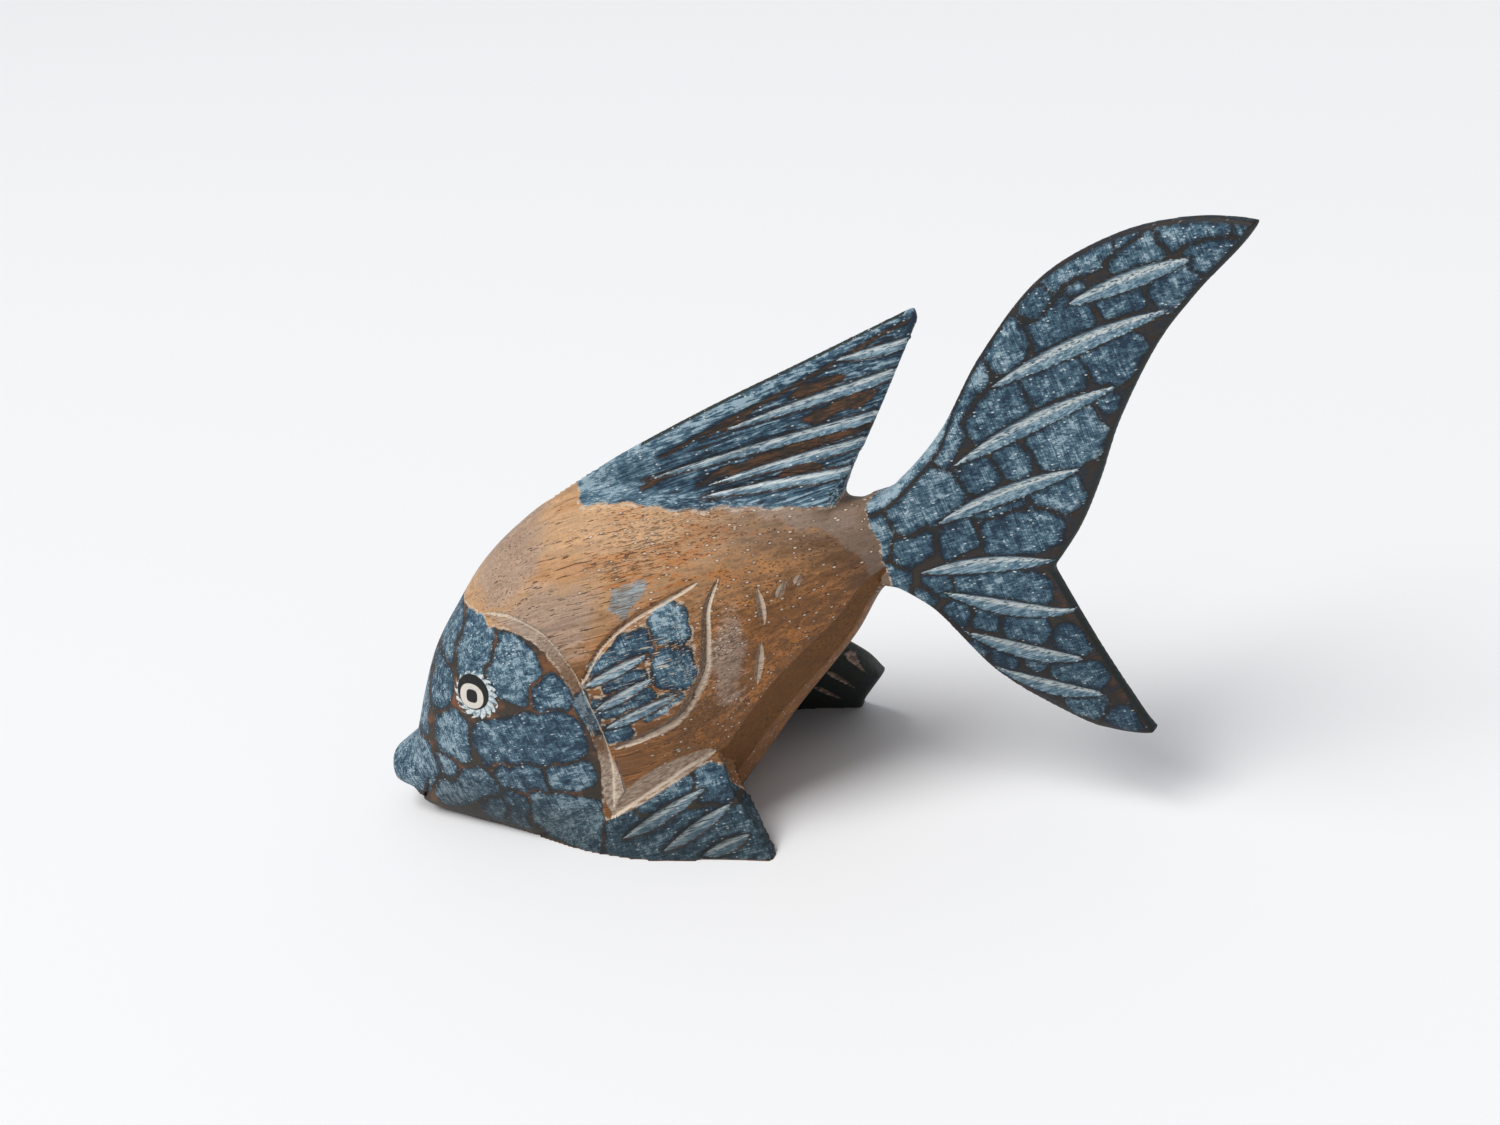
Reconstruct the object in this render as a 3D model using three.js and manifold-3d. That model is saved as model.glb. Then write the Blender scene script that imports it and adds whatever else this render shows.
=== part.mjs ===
// A small wooden koi, carved from one block: body, back fin, forked tail and two belly fins
// that it stands on. Millimetres, +Z up, tail towards +X, the fish's left flank towards -Y,
// origin in the middle of the flat sole under the belly.
// Everything is shaped straight first, on a middle sheet y = 0, and the whole solid is then
// bent a little to the left, as the carving is. The bend never changes a height, so the sole
// stays flat. The x values of the straight fish are counted from a line through its belly.

import * as THREE from 'three';
import { mergeVertices } from 'three/addons/utils/BufferGeometryUtils.js';
import Module from 'manifold-3d';

const wasm = await Module();
wasm.setup();

// Sizes that drive the whole fish

const NOSE = -56.6; // x of the upper lip
const STALK = 46; // x where the body ends, inside the root of the tail
const BEND_RADIUS = 320; // the spine is an arc of this radius
const BEND_START = -10; // x where the spine still runs straight along X
const SOLE_MIDDLE = -16; // x of the straight fish that becomes x = 0
const SOLE_DEPTH = 6; // how much is sawn off below z = 0

// Side profiles of the body: x along the fish, then the value there

const BACK = profile([
  [NOSE, 8.6], [-56, 10.6], [-54, 12], [-50.5, 14.4], [-48.6, 18], [-46.2, 23.4], [-42, 31.4],
  [-36, 39], [-30, 45.8], [-23, 51.4], [-15, 56], [-6, 58.2], [4, 58], [25, 56],
  [38, 53.9], [STALK, 54.2],
]);
const BELLY = profile([
  [NOSE, 7.2], [-56, 6], [-54, 4.8], [-52.2, 4], [-51.2, 1], [-49.5, -0.2], [-44, -1.4],
  [-36, -2.2], [0, -2.5], [6, -1.5], [12, 4.2], [22, 15.6], [35, 29.6], [42, 38.8], [STALK, 41],
]);
const HALF_WIDTH = profile([
  [NOSE, 1.2], [-55.8, 3.8], [-54, 5.4], [-50, 7.6], [-45, 10.3], [-40, 12.9], [-33, 15.8],
  [-25, 18.5], [-15, 20.8], [-3, 21.7], [8, 20.4], [20, 15.6], [30, 10.4], [38, 6.8],
  [43, 5], [STALK, 3.6],
]);
const WIDEST_HEIGHT = profile([
  [NOSE, 7.6], [-54, 8], [-50, 9], [-45, 12], [-40, 15], [-30, 20], [-15, 24], [0, 27],
  [15, 34], [30, 42], [40, 46.5], [STALK, 48],
]);
const UPPER_ROUNDNESS = profile([[NOSE, 2], [0, 1.9], [STALK, 2.2]]);
const LOWER_ROUNDNESS = profile([
  [NOSE, 2.2], [-46, 2.8], [-36, 3.8], [-24, 6], [-2, 5.4], [12, 2.8], [30, 2.2], [STALK, 2.2],
]);
const BODY_SECTIONS = 40;
const SECTION_CROWDING = 0.55; // sections lie closer together towards the mouth
const BODY_SIDES = 28;
const WELD = 1e-4;
const EDGE_SHARE = 0.55; // part of a fin's thickness left at its edges
const WIDEST_BEVEL = 0.35; // a bevel takes at most this share of a narrow fin

// Forked tail: the front edge runs from the upper tip round the root to the lower tip,
// the rear edge from the upper tip through the notch to the lower tip

const TAIL_UPPER_FRONT = [
  [110.8, 99.5], [102, 100.1], [89.7, 97.7], [76.2, 90.8], [65, 78.9], [56.5, 66.6],
  [48.2, 58.1], [43.5, 55],
];
const TAIL_ROOT = [[40, 53], [40, 42]];
const TAIL_LOWER_FRONT = [
  [44, 40], [50.5, 35], [59.2, 24], [71.8, 16.3], [78.4, 14.6], [85, 14.8],
];
const TAIL_UPPER_REAR = [
  [110.8, 99.5], [107.6, 95.8], [100.4, 89], [93.2, 80.8], [85.8, 68.7], [81.2, 58.5], [76.8, 50.3],
  [71.4, 43],
];
const TAIL_LOWER_REAR = [[71.4, 43], [76.9, 30.4], [82.2, 19.9], [85, 14.8]];
const TAIL_HALF = profile([
  [40, 4.6], [44, 4.5], [48, 3.8], [54, 2.8], [62, 2.1], [75, 1.7], [100, 1.4], [112, 1.2],
]);
const TAIL_BEVEL = 2.4;
const TAIL_RIBS = 38;
const TAIL_RIB_SHARES = [0.4, 0.16, 0.44]; // upper front edge, root, lower front edge
const TAIL_REAR_SHARE = 0.56; // share of the ribs that end above the notch

// Each row is one gouged ray: start x, start z, end x, end z

const TAIL_RAYS = [
  [80.6, 87.2, 100.8, 94.5], [66.1, 73.9, 96.5, 86.8], [58.3, 61.1, 86.7, 74.7],
  [53.7, 51.1, 79.2, 61.1], [49.6, 42.6, 72.5, 45], [53, 39.1, 74.6, 36.3],
  [55.3, 31.9, 75.3, 27.9], [58.9, 25.3, 77.6, 21.8],
];
const UPPER_TAIL_RAYS = 4; // these bow upwards, the others downwards
const TAIL_RAY_BOW = 0.035; // how far a ray bows, as a share of its length

// Back fin

const FIN_FRONT = [[-16, 56], [-4, 62], [15.5, 70.4], [34.5, 78], [55, 86.5]];
const FIN_BASE = [[-16, 50], [36.8, 50]];
const FIN_REAR = [[36.8, 50], [37.6, 55.2], [47.4, 71.3], [55.6, 84.8]];
const FIN_HEIGHTS = [54.5, 87];
const FIN_FULL_X = 10; // the fin thins out in front of this
const FIN_HALF_TOP = 0.95;
const FIN_HALF_BASE = 1.5;
const FIN_ROOT_SWELL = 2.8;
const FIN_ROOT_REACH = 5;
const FIN_BEVEL = 2.2;
const FIN_RIBS = 20;
const FIN_BASE_SHARE = 0.55; // share of the ribs that end on the base line
const FIN_RAYS = [
  [41, 78.6, 53.4, 81.4], [19, 67.4, 50, 76.4], [3.3, 59.6, 45.9, 69.5],
  [15.5, 58.6, 43, 65.1], [14, 56.8, 40, 60.2],
];

// Belly fins that the fish stands on, one on each side: -1 is the left, 1 the right

const FEET = [
  { side: -1, splay: 0, top: [13.2, 17.2], shoulder: [13.9, 14.4], rear: [14.8, 11.4], tip: [22.2, 0.4] },
  { side: 1, splay: 2.4, top: [25.4, 20.6], shoulder: [28.7, 15.8], rear: [29.8, 10.6], tip: [22.4, 0.4] },
];
const FOOT_FRONT = [-36, -3];
const FOOT_TOP = [[-24, 3], [-8, 7.4], [3, 12.4]];
const FOOT_TOP_Y = profile([[-36, 8], [-24, 15.2], [-14, 18], [-4, 18.8], [5, 18.2], [28, 17.4]]);
const FOOT_FLARE = profile([[-36, 2], [-24, 2.6], [-14, 4.3], [-4, 6], [4, 7], [28, 7]]);
const FOOT_HEIGHT = 17;
const FOOT_TOP_THICKNESS = 4.8;
const FOOT_BOTTOM_THICKNESS = profile([[-36, 8], [-8, 6], [12, 3.6], [28, 2.6]]);
const FOOT_BEVEL = 1.2;
const FOOT_RIBS = 16;
const FOOT_UPPER_SHARE = 0.66; // share of the ribs that end on the fin's upper edge
const FOOT_RAYS = [
  [-6.7, 3.2, 10.5, 11.4], [1.5, 1.6, 15.3, 9], [9, 0.8, 18.4, 4.2],
];

// Lines cut into both flanks, as x and z

const GILL_LINE = [
  [-26.5, 41.6], [-21.3, 42], [-15.3, 40.3], [-11.9, 37.3], [-9.2, 33.2], [-7.3, 27],
  [-6.2, 21.1], [-6.4, 15.1], [-8.4, 6.6],
];
const SIDE_FIN_TOP = [[-7.8, 32.2], [-3.1, 38.2], [3.1, 42.3], [15.2, 47]];
const SIDE_FIN_REAR = [
  [18.6, 47], [16.6, 43], [15.7, 37], [14.4, 31.8], [9.3, 25.4], [3.9, 22.7], [-4.6, 20],
];
const SIDE_FIN_RAYS = [[-7.9, 31.5, 5.7, 36.8], [-6.7, 27.2, 6, 32.8], [-5.6, 23.8, 9.7, 29.4]];
const SCALE_CUTS = [
  [24.7, 44.6, 24.9, 38.1], [23.9, 35.6, 21.4, 27.4], [27.2, 41.8, 29, 44.8],
  [30.2, 43.6, 31.6, 45.4],
];
const FOOT_LINE = [[-8.4, 6.4], [3, 12.6], [12.8, 17]];
const MOUTH_LINE = [[-52.6, 2.2], [-49.6, 5.2], [-47.4, 9.4]];

// Each kind of cut: stations along it, its width and its depth

const GILL_CUT = [14, 1.8, 1.1];
const SIDE_FIN_TOP_CUT = [8, 1.6, 0.8];
const SIDE_FIN_REAR_CUT = [11, 1.8, 1];
const SIDE_FIN_RAY_CUT = [6, 1.9, 0.8];
const SCALE_CUT = [5, 1.4, 0.6];
const MOUTH_CUT = [5, 1.2, 0.8];
const FOOT_LINE_CUT = [7, 2, 1];
const FOOT_RAY_CUT = [6, 2.1, 0.8];
const TAIL_RAY_CUT = [6, 2.6, 0.75];
const FIN_RAY_CUT = [6, 1.9, 0.55];
const CUT_BOW = 0.02; // how far a short cut bows, as a share of its length
const SKIN_STEP = 0.4; // step over which a surface's slope is taken
const CUT_TIP = 0.06; // a cutter's size at its two points, as a share of its middle
const CUT_FULLNESS = 0.7; // below 1, a cut keeps its width further towards its points
const CUT_LIFT = 0.8; // how far a cutter stands above the surface
const CUT_LEAN = 1.3; // how much wider a cutter is at its shoulders than its groove
const CUT_SHOULDER = 0.3; // height of the shoulders

// A smooth, never overshooting curve through points of rising x

function profile(points) {
  const slopes = points.map((_, i) => {
    if (i === 0 || i === points.length - 1) return 0;
    const [before, here, after] = [points[i - 1], points[i], points[i + 1]];
    const left = (here[1] - before[1]) / (here[0] - before[0]);
    const right = (after[1] - here[1]) / (after[0] - here[0]);
    return left * right <= 0 ? 0 : (2 * left * right) / (left + right);
  });
  const last = points.length - 1;
  slopes[0] = (points[1][1] - points[0][1]) / (points[1][0] - points[0][0]);
  slopes[last] = (points[last][1] - points[last - 1][1]) / (points[last][0] - points[last - 1][0]);
  return (x) => {
    const at = THREE.MathUtils.clamp(x, points[0][0], points[last][0]);
    let i = 0;
    while (i < last - 1 && at > points[i + 1][0]) i += 1;
    const [x0, y0] = points[i];
    const [x1, y1] = points[i + 1];
    const run = x1 - x0;
    const t = (at - x0) / run;
    const rise = t * t * (3 - 2 * t);
    const lead = t * (1 - t) * (1 - t);
    const trail = -t * t * (1 - t);
    return y0 + (y1 - y0) * rise + run * (slopes[i] * lead + slopes[i + 1] * trail);
  };
}

// Evenly spaced points of a smooth curve through [x, z] pairs

function spline(pairs, count) {
  const curve = new THREE.SplineCurve(pairs.map(([x, z]) => new THREE.Vector2(x, z)));
  return curve.getSpacedPoints(count - 1);
}

function joinRuns(...runs) {
  return runs.flatMap((run, i) => (i ? run.slice(1) : run));
}

// Half the body's width at a height, a superellipse above and below the widest line

function bodyHalf(x, z) {
  const middle = WIDEST_HEIGHT(x);
  const above = z >= middle;
  const reach = above ? BACK(x) - middle : middle - BELLY(x);
  const power = above ? UPPER_ROUNDNESS(x) : LOWER_ROUNDNESS(x);
  const share = Math.min(1, Math.abs(z - middle) / reach);
  return HALF_WIDTH(x) * (1 - share ** power) ** (1 / power);
}

function finHalf(x, z) {
  const [low, high] = FIN_HEIGHTS;
  const share = THREE.MathUtils.clamp((z - low) / (high - low), 0, 1);
  const ease = THREE.MathUtils.smoothstep(x, FIN_FRONT[0][0], FIN_FULL_X);
  const swell = FIN_ROOT_SWELL * Math.exp(-Math.max(0, z - low) / FIN_ROOT_REACH);
  return ease * (THREE.MathUtils.lerp(FIN_HALF_BASE, FIN_HALF_TOP, share) + swell);
}

// How far out a belly fin's outer face lies, and how thick the fin is there

function footOuter(x, z, splay = 0) {
  const drop = 1 - z / FOOT_HEIGHT;
  return FOOT_TOP_Y(x) + (FOOT_FLARE(x) + splay * THREE.MathUtils.smoothstep(x, -20, 20)) * drop;
}

function footThickness(x, z) {
  const drop = THREE.MathUtils.clamp(1 - z / FOOT_HEIGHT, 0, 1);
  return THREE.MathUtils.lerp(FOOT_TOP_THICKNESS, FOOT_BOTTOM_THICKNESS(x), drop);
}

function flankHalf(x, z) {
  return Math.max(bodyHalf(x, z), footOuter(x, z));
}

// A closed solid from rings of equal length, with flat fans at both ends

function solidFromRings(rings) {
  const size = rings[0].length;
  const points = rings.flat();
  const faces = [];
  for (let i = 0; i < rings.length - 1; i += 1) {
    for (let j = 0; j < size; j += 1) {
      const a = i * size + j;
      const b = i * size + ((j + 1) % size);
      faces.push(a, b, b + size, a, b + size, a + size);
    }
  }
  const end = (rings.length - 1) * size;
  for (let j = 1; j < size - 1; j += 1) {
    faces.push(0, j + 1, j, end, end + j, end + j + 1);
  }
  return toManifold(points, faces);
}

// Merges equal corners and turns the faces outwards if they point in

function toManifold(points, faces) {
  let geometry = new THREE.BufferGeometry().setFromPoints(points);
  geometry.setIndex(faces);
  geometry = mergeVertices(geometry, WELD);
  const corners = Array.from(geometry.index.array);
  const kept = [];
  for (let i = 0; i < corners.length; i += 3) {
    const [a, b, c] = corners.slice(i, i + 3);
    if (a !== b && b !== c && c !== a) kept.push(a, b, c);
  }
  const mesh = new wasm.Mesh({
    numProp: 3,
    vertProperties: new Float32Array(geometry.attributes.position.array),
    triVerts: new Uint32Array(kept),
  });
  const solid = new wasm.Manifold(mesh);
  if (solid.volume() > 0) return solid;
  for (let i = 0; i < kept.length; i += 3) [kept[i], kept[i + 1]] = [kept[i + 1], kept[i]];
  mesh.triVerts = new Uint32Array(kept);
  return new wasm.Manifold(mesh);
}

function body() {
  const rings = [];
  for (let i = 0; i <= BODY_SECTIONS; i += 1) {
    const share = i / BODY_SECTIONS;
    const x = THREE.MathUtils.lerp(NOSE, STALK, share * (1 - SECTION_CROWDING * (1 - share)));
    const middle = WIDEST_HEIGHT(x);
    const ring = [];
    for (let j = 0; j < BODY_SIDES; j += 1) {
      const angle = (2 * Math.PI * j) / BODY_SIDES;
      const [cos, sin] = [Math.cos(angle), Math.sin(angle)];
      const above = sin >= 0;
      const power = 2 / (above ? UPPER_ROUNDNESS(x) : LOWER_ROUNDNESS(x));
      const reach = above ? BACK(x) - middle : middle - BELLY(x);
      const y = HALF_WIDTH(x) * Math.sign(cos) * Math.abs(cos) ** power;
      const z = middle + reach * Math.sign(sin) * Math.abs(sin) ** power;
      ring.push(new THREE.Vector3(x, y, z));
    }
    rings.push(ring);
  }
  return solidFromRings(rings);
}

// A thin fin between two edges, ribs across it, bevelled towards both edges. The faces
// function gives the y of its two faces at a place on the sheet.

function blade(front, rear, faces, bevel) {
  const rings = front.map((start, i) => {
    const end = rear[i];
    const width = start.distanceTo(end);
    const inset = Math.min(bevel / Math.max(width, bevel), WIDEST_BEVEL);
    const stops = [0, inset, 0.5, 1 - inset, 1];
    const full = [EDGE_SHARE, 1, 1, 1, EDGE_SHARE];
    const place = (k, face) => {
      const at = start.clone().lerp(end, stops[k]);
      const ys = faces(at.x, at.y);
      const middle = (ys[0] + ys[1]) / 2;
      return new THREE.Vector3(at.x, THREE.MathUtils.lerp(middle, ys[face], full[k]), at.y);
    };
    const there = stops.map((_, k) => place(k, 0));
    const back = stops.map((_, k) => place(k, 1)).reverse();
    return [...there, ...back];
  });
  return solidFromRings(rings);
}

function evenFaces(half) {
  return (x, z) => [-half(x, z), half(x, z)];
}

function tail() {
  const ribs = TAIL_RIB_SHARES.map((share) => Math.round(share * TAIL_RIBS));
  const front = joinRuns(
    spline(TAIL_UPPER_FRONT, ribs[0]),
    spline([TAIL_UPPER_FRONT.at(-1), ...TAIL_ROOT, TAIL_LOWER_FRONT[0]], ribs[1]),
    spline(TAIL_LOWER_FRONT, ribs[2]),
  );
  const upper = Math.round(front.length * TAIL_REAR_SHARE);
  const rear = joinRuns(
    spline(TAIL_UPPER_REAR, upper),
    spline(TAIL_LOWER_REAR, front.length - upper + 1),
  );
  return blade(front, rear, evenFaces(TAIL_HALF), TAIL_BEVEL);
}

function backFin() {
  const front = spline(FIN_FRONT, FIN_RIBS);
  const below = Math.round(FIN_RIBS * FIN_BASE_SHARE);
  const rear = joinRuns(
    spline(FIN_BASE, below),
    spline(FIN_REAR, FIN_RIBS - below + 1),
  );
  return blade(front, rear, evenFaces(finHalf), FIN_BEVEL);
}

// A belly fin: its ribs run from the upper edge down to the lower edge, past the ground

function foot({ side, splay, top, shoulder, rear, tip }) {
  const below = [tip[0], FOOT_FRONT[1]];
  const along = Math.round(FOOT_RIBS * FOOT_UPPER_SHARE);
  const behind = FOOT_RIBS - along + 1;
  const upper = joinRuns(
    spline([FOOT_FRONT, ...FOOT_TOP, top], along),
    spline([top, shoulder, rear], behind),
  );
  const lower = joinRuns(
    spline([FOOT_FRONT, below], along),
    spline([below, tip, rear], behind),
  );
  const faces = (x, z) => {
    const outer = footOuter(x, z, splay);
    return [side * outer, side * (outer - footThickness(x, z))];
  };
  return blade(upper, lower, faces, FOOT_BEVEL);
}

// A gouge with pointed ends: a kite carried along a path on a surface y = half(x, z)

function gouge(path, half, side, width, depth) {
  const skin = (x, z) => new THREE.Vector3(x, side * half(x, z), z);
  const rings = path.map((p, i) => {
    const before = path[Math.max(0, i - 1)];
    const after = path[Math.min(path.length - 1, i + 1)];
    const along = skin(after.x, after.y).sub(skin(before.x, before.y)).normalize();
    const overX = skin(p.x + SKIN_STEP, p.y).sub(skin(p.x - SKIN_STEP, p.y));
    const overZ = skin(p.x, p.y + SKIN_STEP).sub(skin(p.x, p.y - SKIN_STEP));
    const out = new THREE.Vector3().crossVectors(overX, overZ).normalize();
    if (out.y * side < 0) out.negate();
    const across = new THREE.Vector3().crossVectors(out, along).normalize();
    const swell = Math.max(CUT_TIP, Math.sin((Math.PI * i) / (path.length - 1))) ** CUT_FULLNESS;
    const centre = skin(p.x, p.y);
    const reach = (width / 2) * CUT_LEAN * swell;
    const shoulder = CUT_SHOULDER * swell;
    const at = (sideways, up) => centre.clone()
      .addScaledVector(across, sideways).addScaledVector(out, up);
    return [at(0, -depth * swell), at(reach, shoulder), at(0, CUT_LIFT), at(-reach, shoulder)];
  });
  return solidFromRings(rings);
}

function straightPath([x0, z0, x1, z1], bow, steps) {
  const start = new THREE.Vector2(x0, z0);
  const end = new THREE.Vector2(x1, z1);
  const run = end.clone().sub(start);
  const aside = new THREE.Vector2(-run.y, run.x);
  const points = [];
  for (let i = 0; i < steps; i += 1) {
    const share = i / (steps - 1);
    const push = 4 * bow * share * (1 - share);
    points.push(start.clone().addScaledVector(run, share).addScaledVector(aside, push));
  }
  return points;
}

function flankCuts(side) {
  const line = (pairs, [count, ...size]) => gouge(spline(pairs, count), bodyHalf, side, ...size);
  const straight = (row, [count, ...size]) => (
    gouge(straightPath(row, CUT_BOW, count), bodyHalf, side, ...size)
  );
  return [
    line(GILL_LINE, GILL_CUT),
    line(SIDE_FIN_TOP, SIDE_FIN_TOP_CUT),
    line(SIDE_FIN_REAR, SIDE_FIN_REAR_CUT),
    line(MOUTH_LINE, MOUTH_CUT),
    ...SIDE_FIN_RAYS.map((row) => straight(row, SIDE_FIN_RAY_CUT)),
    ...SCALE_CUTS.map((row) => straight(row, SCALE_CUT)),
  ];
}

function finCuts({ side, splay }) {
  const outer = (x, z) => footOuter(x, z, splay);
  const straight = (row, half, bow, [count, ...size]) => (
    gouge(straightPath(row, bow, count), half, side, ...size)
  );
  const [lineCount, ...lineSize] = FOOT_LINE_CUT;
  return [
    ...TAIL_RAYS.map((row, i) => (
      straight(row, TAIL_HALF, i < UPPER_TAIL_RAYS ? TAIL_RAY_BOW : -TAIL_RAY_BOW, TAIL_RAY_CUT)
    )),
    ...FIN_RAYS.map((row) => straight(row, finHalf, 0, FIN_RAY_CUT)),
    ...FOOT_RAYS.map((row) => straight(row, outer, CUT_BOW, FOOT_RAY_CUT)),
    gouge(spline(FOOT_LINE, lineCount), flankHalf, side, ...lineSize),
  ];
}

function sawnOff() {
  const block = new THREE.BoxGeometry(2 * BEND_RADIUS, BEND_RADIUS, SOLE_DEPTH);
  block.translate(0, 0, -SOLE_DEPTH / 2);
  block.deleteAttribute('normal');
  block.deleteAttribute('uv');
  const merged = mergeVertices(block);
  const points = [];
  for (let i = 0; i < merged.attributes.position.count; i += 1) {
    points.push(new THREE.Vector3().fromBufferAttribute(merged.attributes.position, i));
  }
  return toManifold(points, Array.from(merged.index.array));
}

function carvedBlock() {
  let koi = body().add(tail()).add(backFin());
  for (const shape of FEET) koi = koi.add(foot(shape));
  for (const shape of FEET) {
    for (const cut of [...flankCuts(shape.side), ...finCuts(shape)]) koi = koi.subtract(cut);
  }
  return koi.subtract(sawnOff());
}

// Moves a point of the straight fish onto the bent one, at the same height

function bent(x, y) {
  const turn = (x - BEND_START) / BEND_RADIUS;
  const radius = BEND_RADIUS + y;
  const along = BEND_START - SOLE_MIDDLE + radius * Math.sin(turn);
  return [along, radius * Math.cos(turn) - BEND_RADIUS];
}

function bentGeometry(solid) {
  const mesh = solid.getMesh();
  const positions = Float32Array.from(mesh.vertProperties);
  for (let i = 0; i < positions.length; i += 3) {
    [positions[i], positions[i + 1]] = bent(positions[i], positions[i + 1]);
  }
  const geometry = new THREE.BufferGeometry();
  geometry.setAttribute('position', new THREE.BufferAttribute(positions, 3));
  geometry.setIndex(new THREE.BufferAttribute(Uint32Array.from(mesh.triVerts), 1));
  geometry.computeVertexNormals();
  return geometry;
}

const paintedWood = new THREE.MeshStandardMaterial({ color: 0x5b7690, roughness: 0.55, metalness: 0 });
const koi = new THREE.Mesh(bentGeometry(carvedBlock()), paintedWood);
koi.name = 'carved_koi';

const group = new THREE.Group();
group.add(koi);

export default group;
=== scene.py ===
"""The looks of a small carved wooden koi: fine carving, dry-brushed blue paint, bare waxed wood,
and a plain stage.

Shapes are worked out in millimetres on a straight fish that stands on z = 0, nose towards -x,
left flank towards -y. Its skin is then bent a little to the left and moved so that x = 0 is the
middle of the sole, in metres.
"""

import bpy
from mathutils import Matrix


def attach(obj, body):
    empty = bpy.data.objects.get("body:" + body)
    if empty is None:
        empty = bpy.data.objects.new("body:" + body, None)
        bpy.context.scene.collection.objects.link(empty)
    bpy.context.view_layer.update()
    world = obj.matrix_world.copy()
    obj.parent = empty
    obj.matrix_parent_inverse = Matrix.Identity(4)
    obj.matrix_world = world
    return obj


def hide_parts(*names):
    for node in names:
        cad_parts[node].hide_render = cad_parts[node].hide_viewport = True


bl_info = {
    "name": "Carved wooden koi",
    "version": (1, 0, 0),
    "blender": (4, 5, 0),
    "location": "View3D > Sidebar > Koi",
    "description": "Carves and paints a small wooden koi and sets a plain stage for it",
    "category": "Object",
}

import math

import bpy
import numpy as np
from mathutils import Matrix

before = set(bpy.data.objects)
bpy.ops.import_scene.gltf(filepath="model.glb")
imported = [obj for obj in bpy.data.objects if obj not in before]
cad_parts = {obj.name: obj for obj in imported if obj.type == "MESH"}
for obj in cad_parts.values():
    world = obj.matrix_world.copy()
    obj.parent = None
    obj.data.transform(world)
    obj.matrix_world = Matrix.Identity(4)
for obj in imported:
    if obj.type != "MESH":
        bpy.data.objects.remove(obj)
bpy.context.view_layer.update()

MM = 0.001
LEFT, RIGHT = -1, 1

# Body of the straight fish, in millimetres: x along it, then the value there

NOSE = -56.6
STALK = 46.0
SOLE_MIDDLE = -16.0
BEND_START = -10.0
BACK = [
    (NOSE, 8.6), (-56, 10.6), (-54, 12), (-50.5, 14.4), (-48.6, 18), (-46.2, 23.4), (-42, 31.4),
    (-36, 39), (-30, 45.8), (-23, 51.4), (-15, 56), (-6, 58.2), (4, 58), (25, 56), (38, 53.9),
    (STALK, 54.2),
]
BELLY = [
    (NOSE, 7.2), (-56, 6), (-54, 4.8), (-52.2, 4), (-51.2, 1), (-49.5, -0.2), (-44, -1.4),
    (-36, -2.2), (0, -2.5), (6, -1.5), (12, 4.2), (22, 15.6), (35, 29.6), (42, 38.8), (STALK, 41),
]
HALF_WIDTH = [
    (NOSE, 1.2), (-55.8, 3.8), (-54, 5.4), (-50, 7.6), (-45, 10.3), (-40, 12.9), (-33, 15.8),
    (-25, 18.5), (-15, 20.8), (-3, 21.7), (8, 20.4), (20, 15.6), (30, 10.4), (38, 6.8), (43, 5),
    (STALK, 3.6),
]
WIDEST_HEIGHT = [
    (NOSE, 7.6), (-54, 8), (-50, 9), (-45, 12), (-40, 15), (-30, 20), (-15, 24), (0, 27),
    (15, 34), (30, 42), (40, 46.5), (STALK, 48),
]
UPPER_ROUNDNESS = [(NOSE, 2), (0, 1.9), (STALK, 2.2)]
LOWER_ROUNDNESS = [
    (NOSE, 2.2), (-46, 2.8), (-36, 3.8), (-24, 6), (-2, 5.4), (12, 2.8), (30, 2.2), (STALK, 2.2),
]
BODY_SECTIONS = 220
SECTION_CROWDING = 0.55
BODY_SIDES = 144

# Thin parts: outlines as (x, z)

EDGE_SHARE = 0.55
WIDEST_BEVEL = 0.35
BLADE_STOPS = 24
BEVEL_STOPS = 4
TAIL_UPPER_FRONT = [
    (110.8, 99.5), (102, 100.1), (89.7, 97.7), (76.2, 90.8), (65, 78.9), (56.5, 66.6),
    (48.2, 58.1), (43.5, 55),
]
TAIL_ROOT = [(40, 53), (40, 42)]
TAIL_LOWER_FRONT = [(44, 40), (50.5, 35), (59.2, 24), (71.8, 16.3), (78.4, 14.6), (85, 14.8)]
TAIL_UPPER_REAR = [
    (110.8, 99.5), (107.6, 95.8), (100.4, 89), (93.2, 80.8), (85.8, 68.7), (81.2, 58.5),
    (76.8, 50.3), (71.4, 43),
]
TAIL_LOWER_REAR = [(71.4, 43), (76.9, 30.4), (82.2, 19.9), (85, 14.8)]
TAIL_HALF = [
    (40, 4.6), (44, 4.5), (48, 3.8), (54, 2.8), (62, 2.1), (75, 1.7), (100, 1.4), (112, 1.2),
]
TAIL_BEVEL = 2.4
TAIL_RIBS = (110, 36, 110)
TAIL_REAR_SHARE = 0.56
FIN_FRONT = [(-16, 56), (-4, 62), (15.5, 70.4), (34.5, 78), (55, 86.5)]
FIN_BASE = [(-16, 50), (36.8, 50)]
FIN_REAR = [(36.8, 50), (37.6, 55.2), (47.4, 71.3), (55.6, 84.8)]
FIN_RIBS = 150
FIN_BASE_SHARE = 0.55
FIN_HEIGHTS = (54.5, 87)
FIN_FULL_X = 10
FIN_HALF_TOP = 0.95
FIN_HALF_BASE = 1.5
FIN_ROOT_SWELL = 2.8
FIN_ROOT_REACH = 5
FIN_BEVEL = 2.2
FOOT_SHAPES = {
    LEFT: {
        "splay": 0, "top": (13.2, 17.2), "shoulder": (13.9, 14.4), "rear": (14.8, 11.4),
        "tip": (22.2, 0.4),
    },
    RIGHT: {
        "splay": 2.4, "top": (25.4, 20.6), "shoulder": (28.7, 15.8), "rear": (29.8, 10.6),
        "tip": (22.4, 0.4),
    },
}
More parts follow.
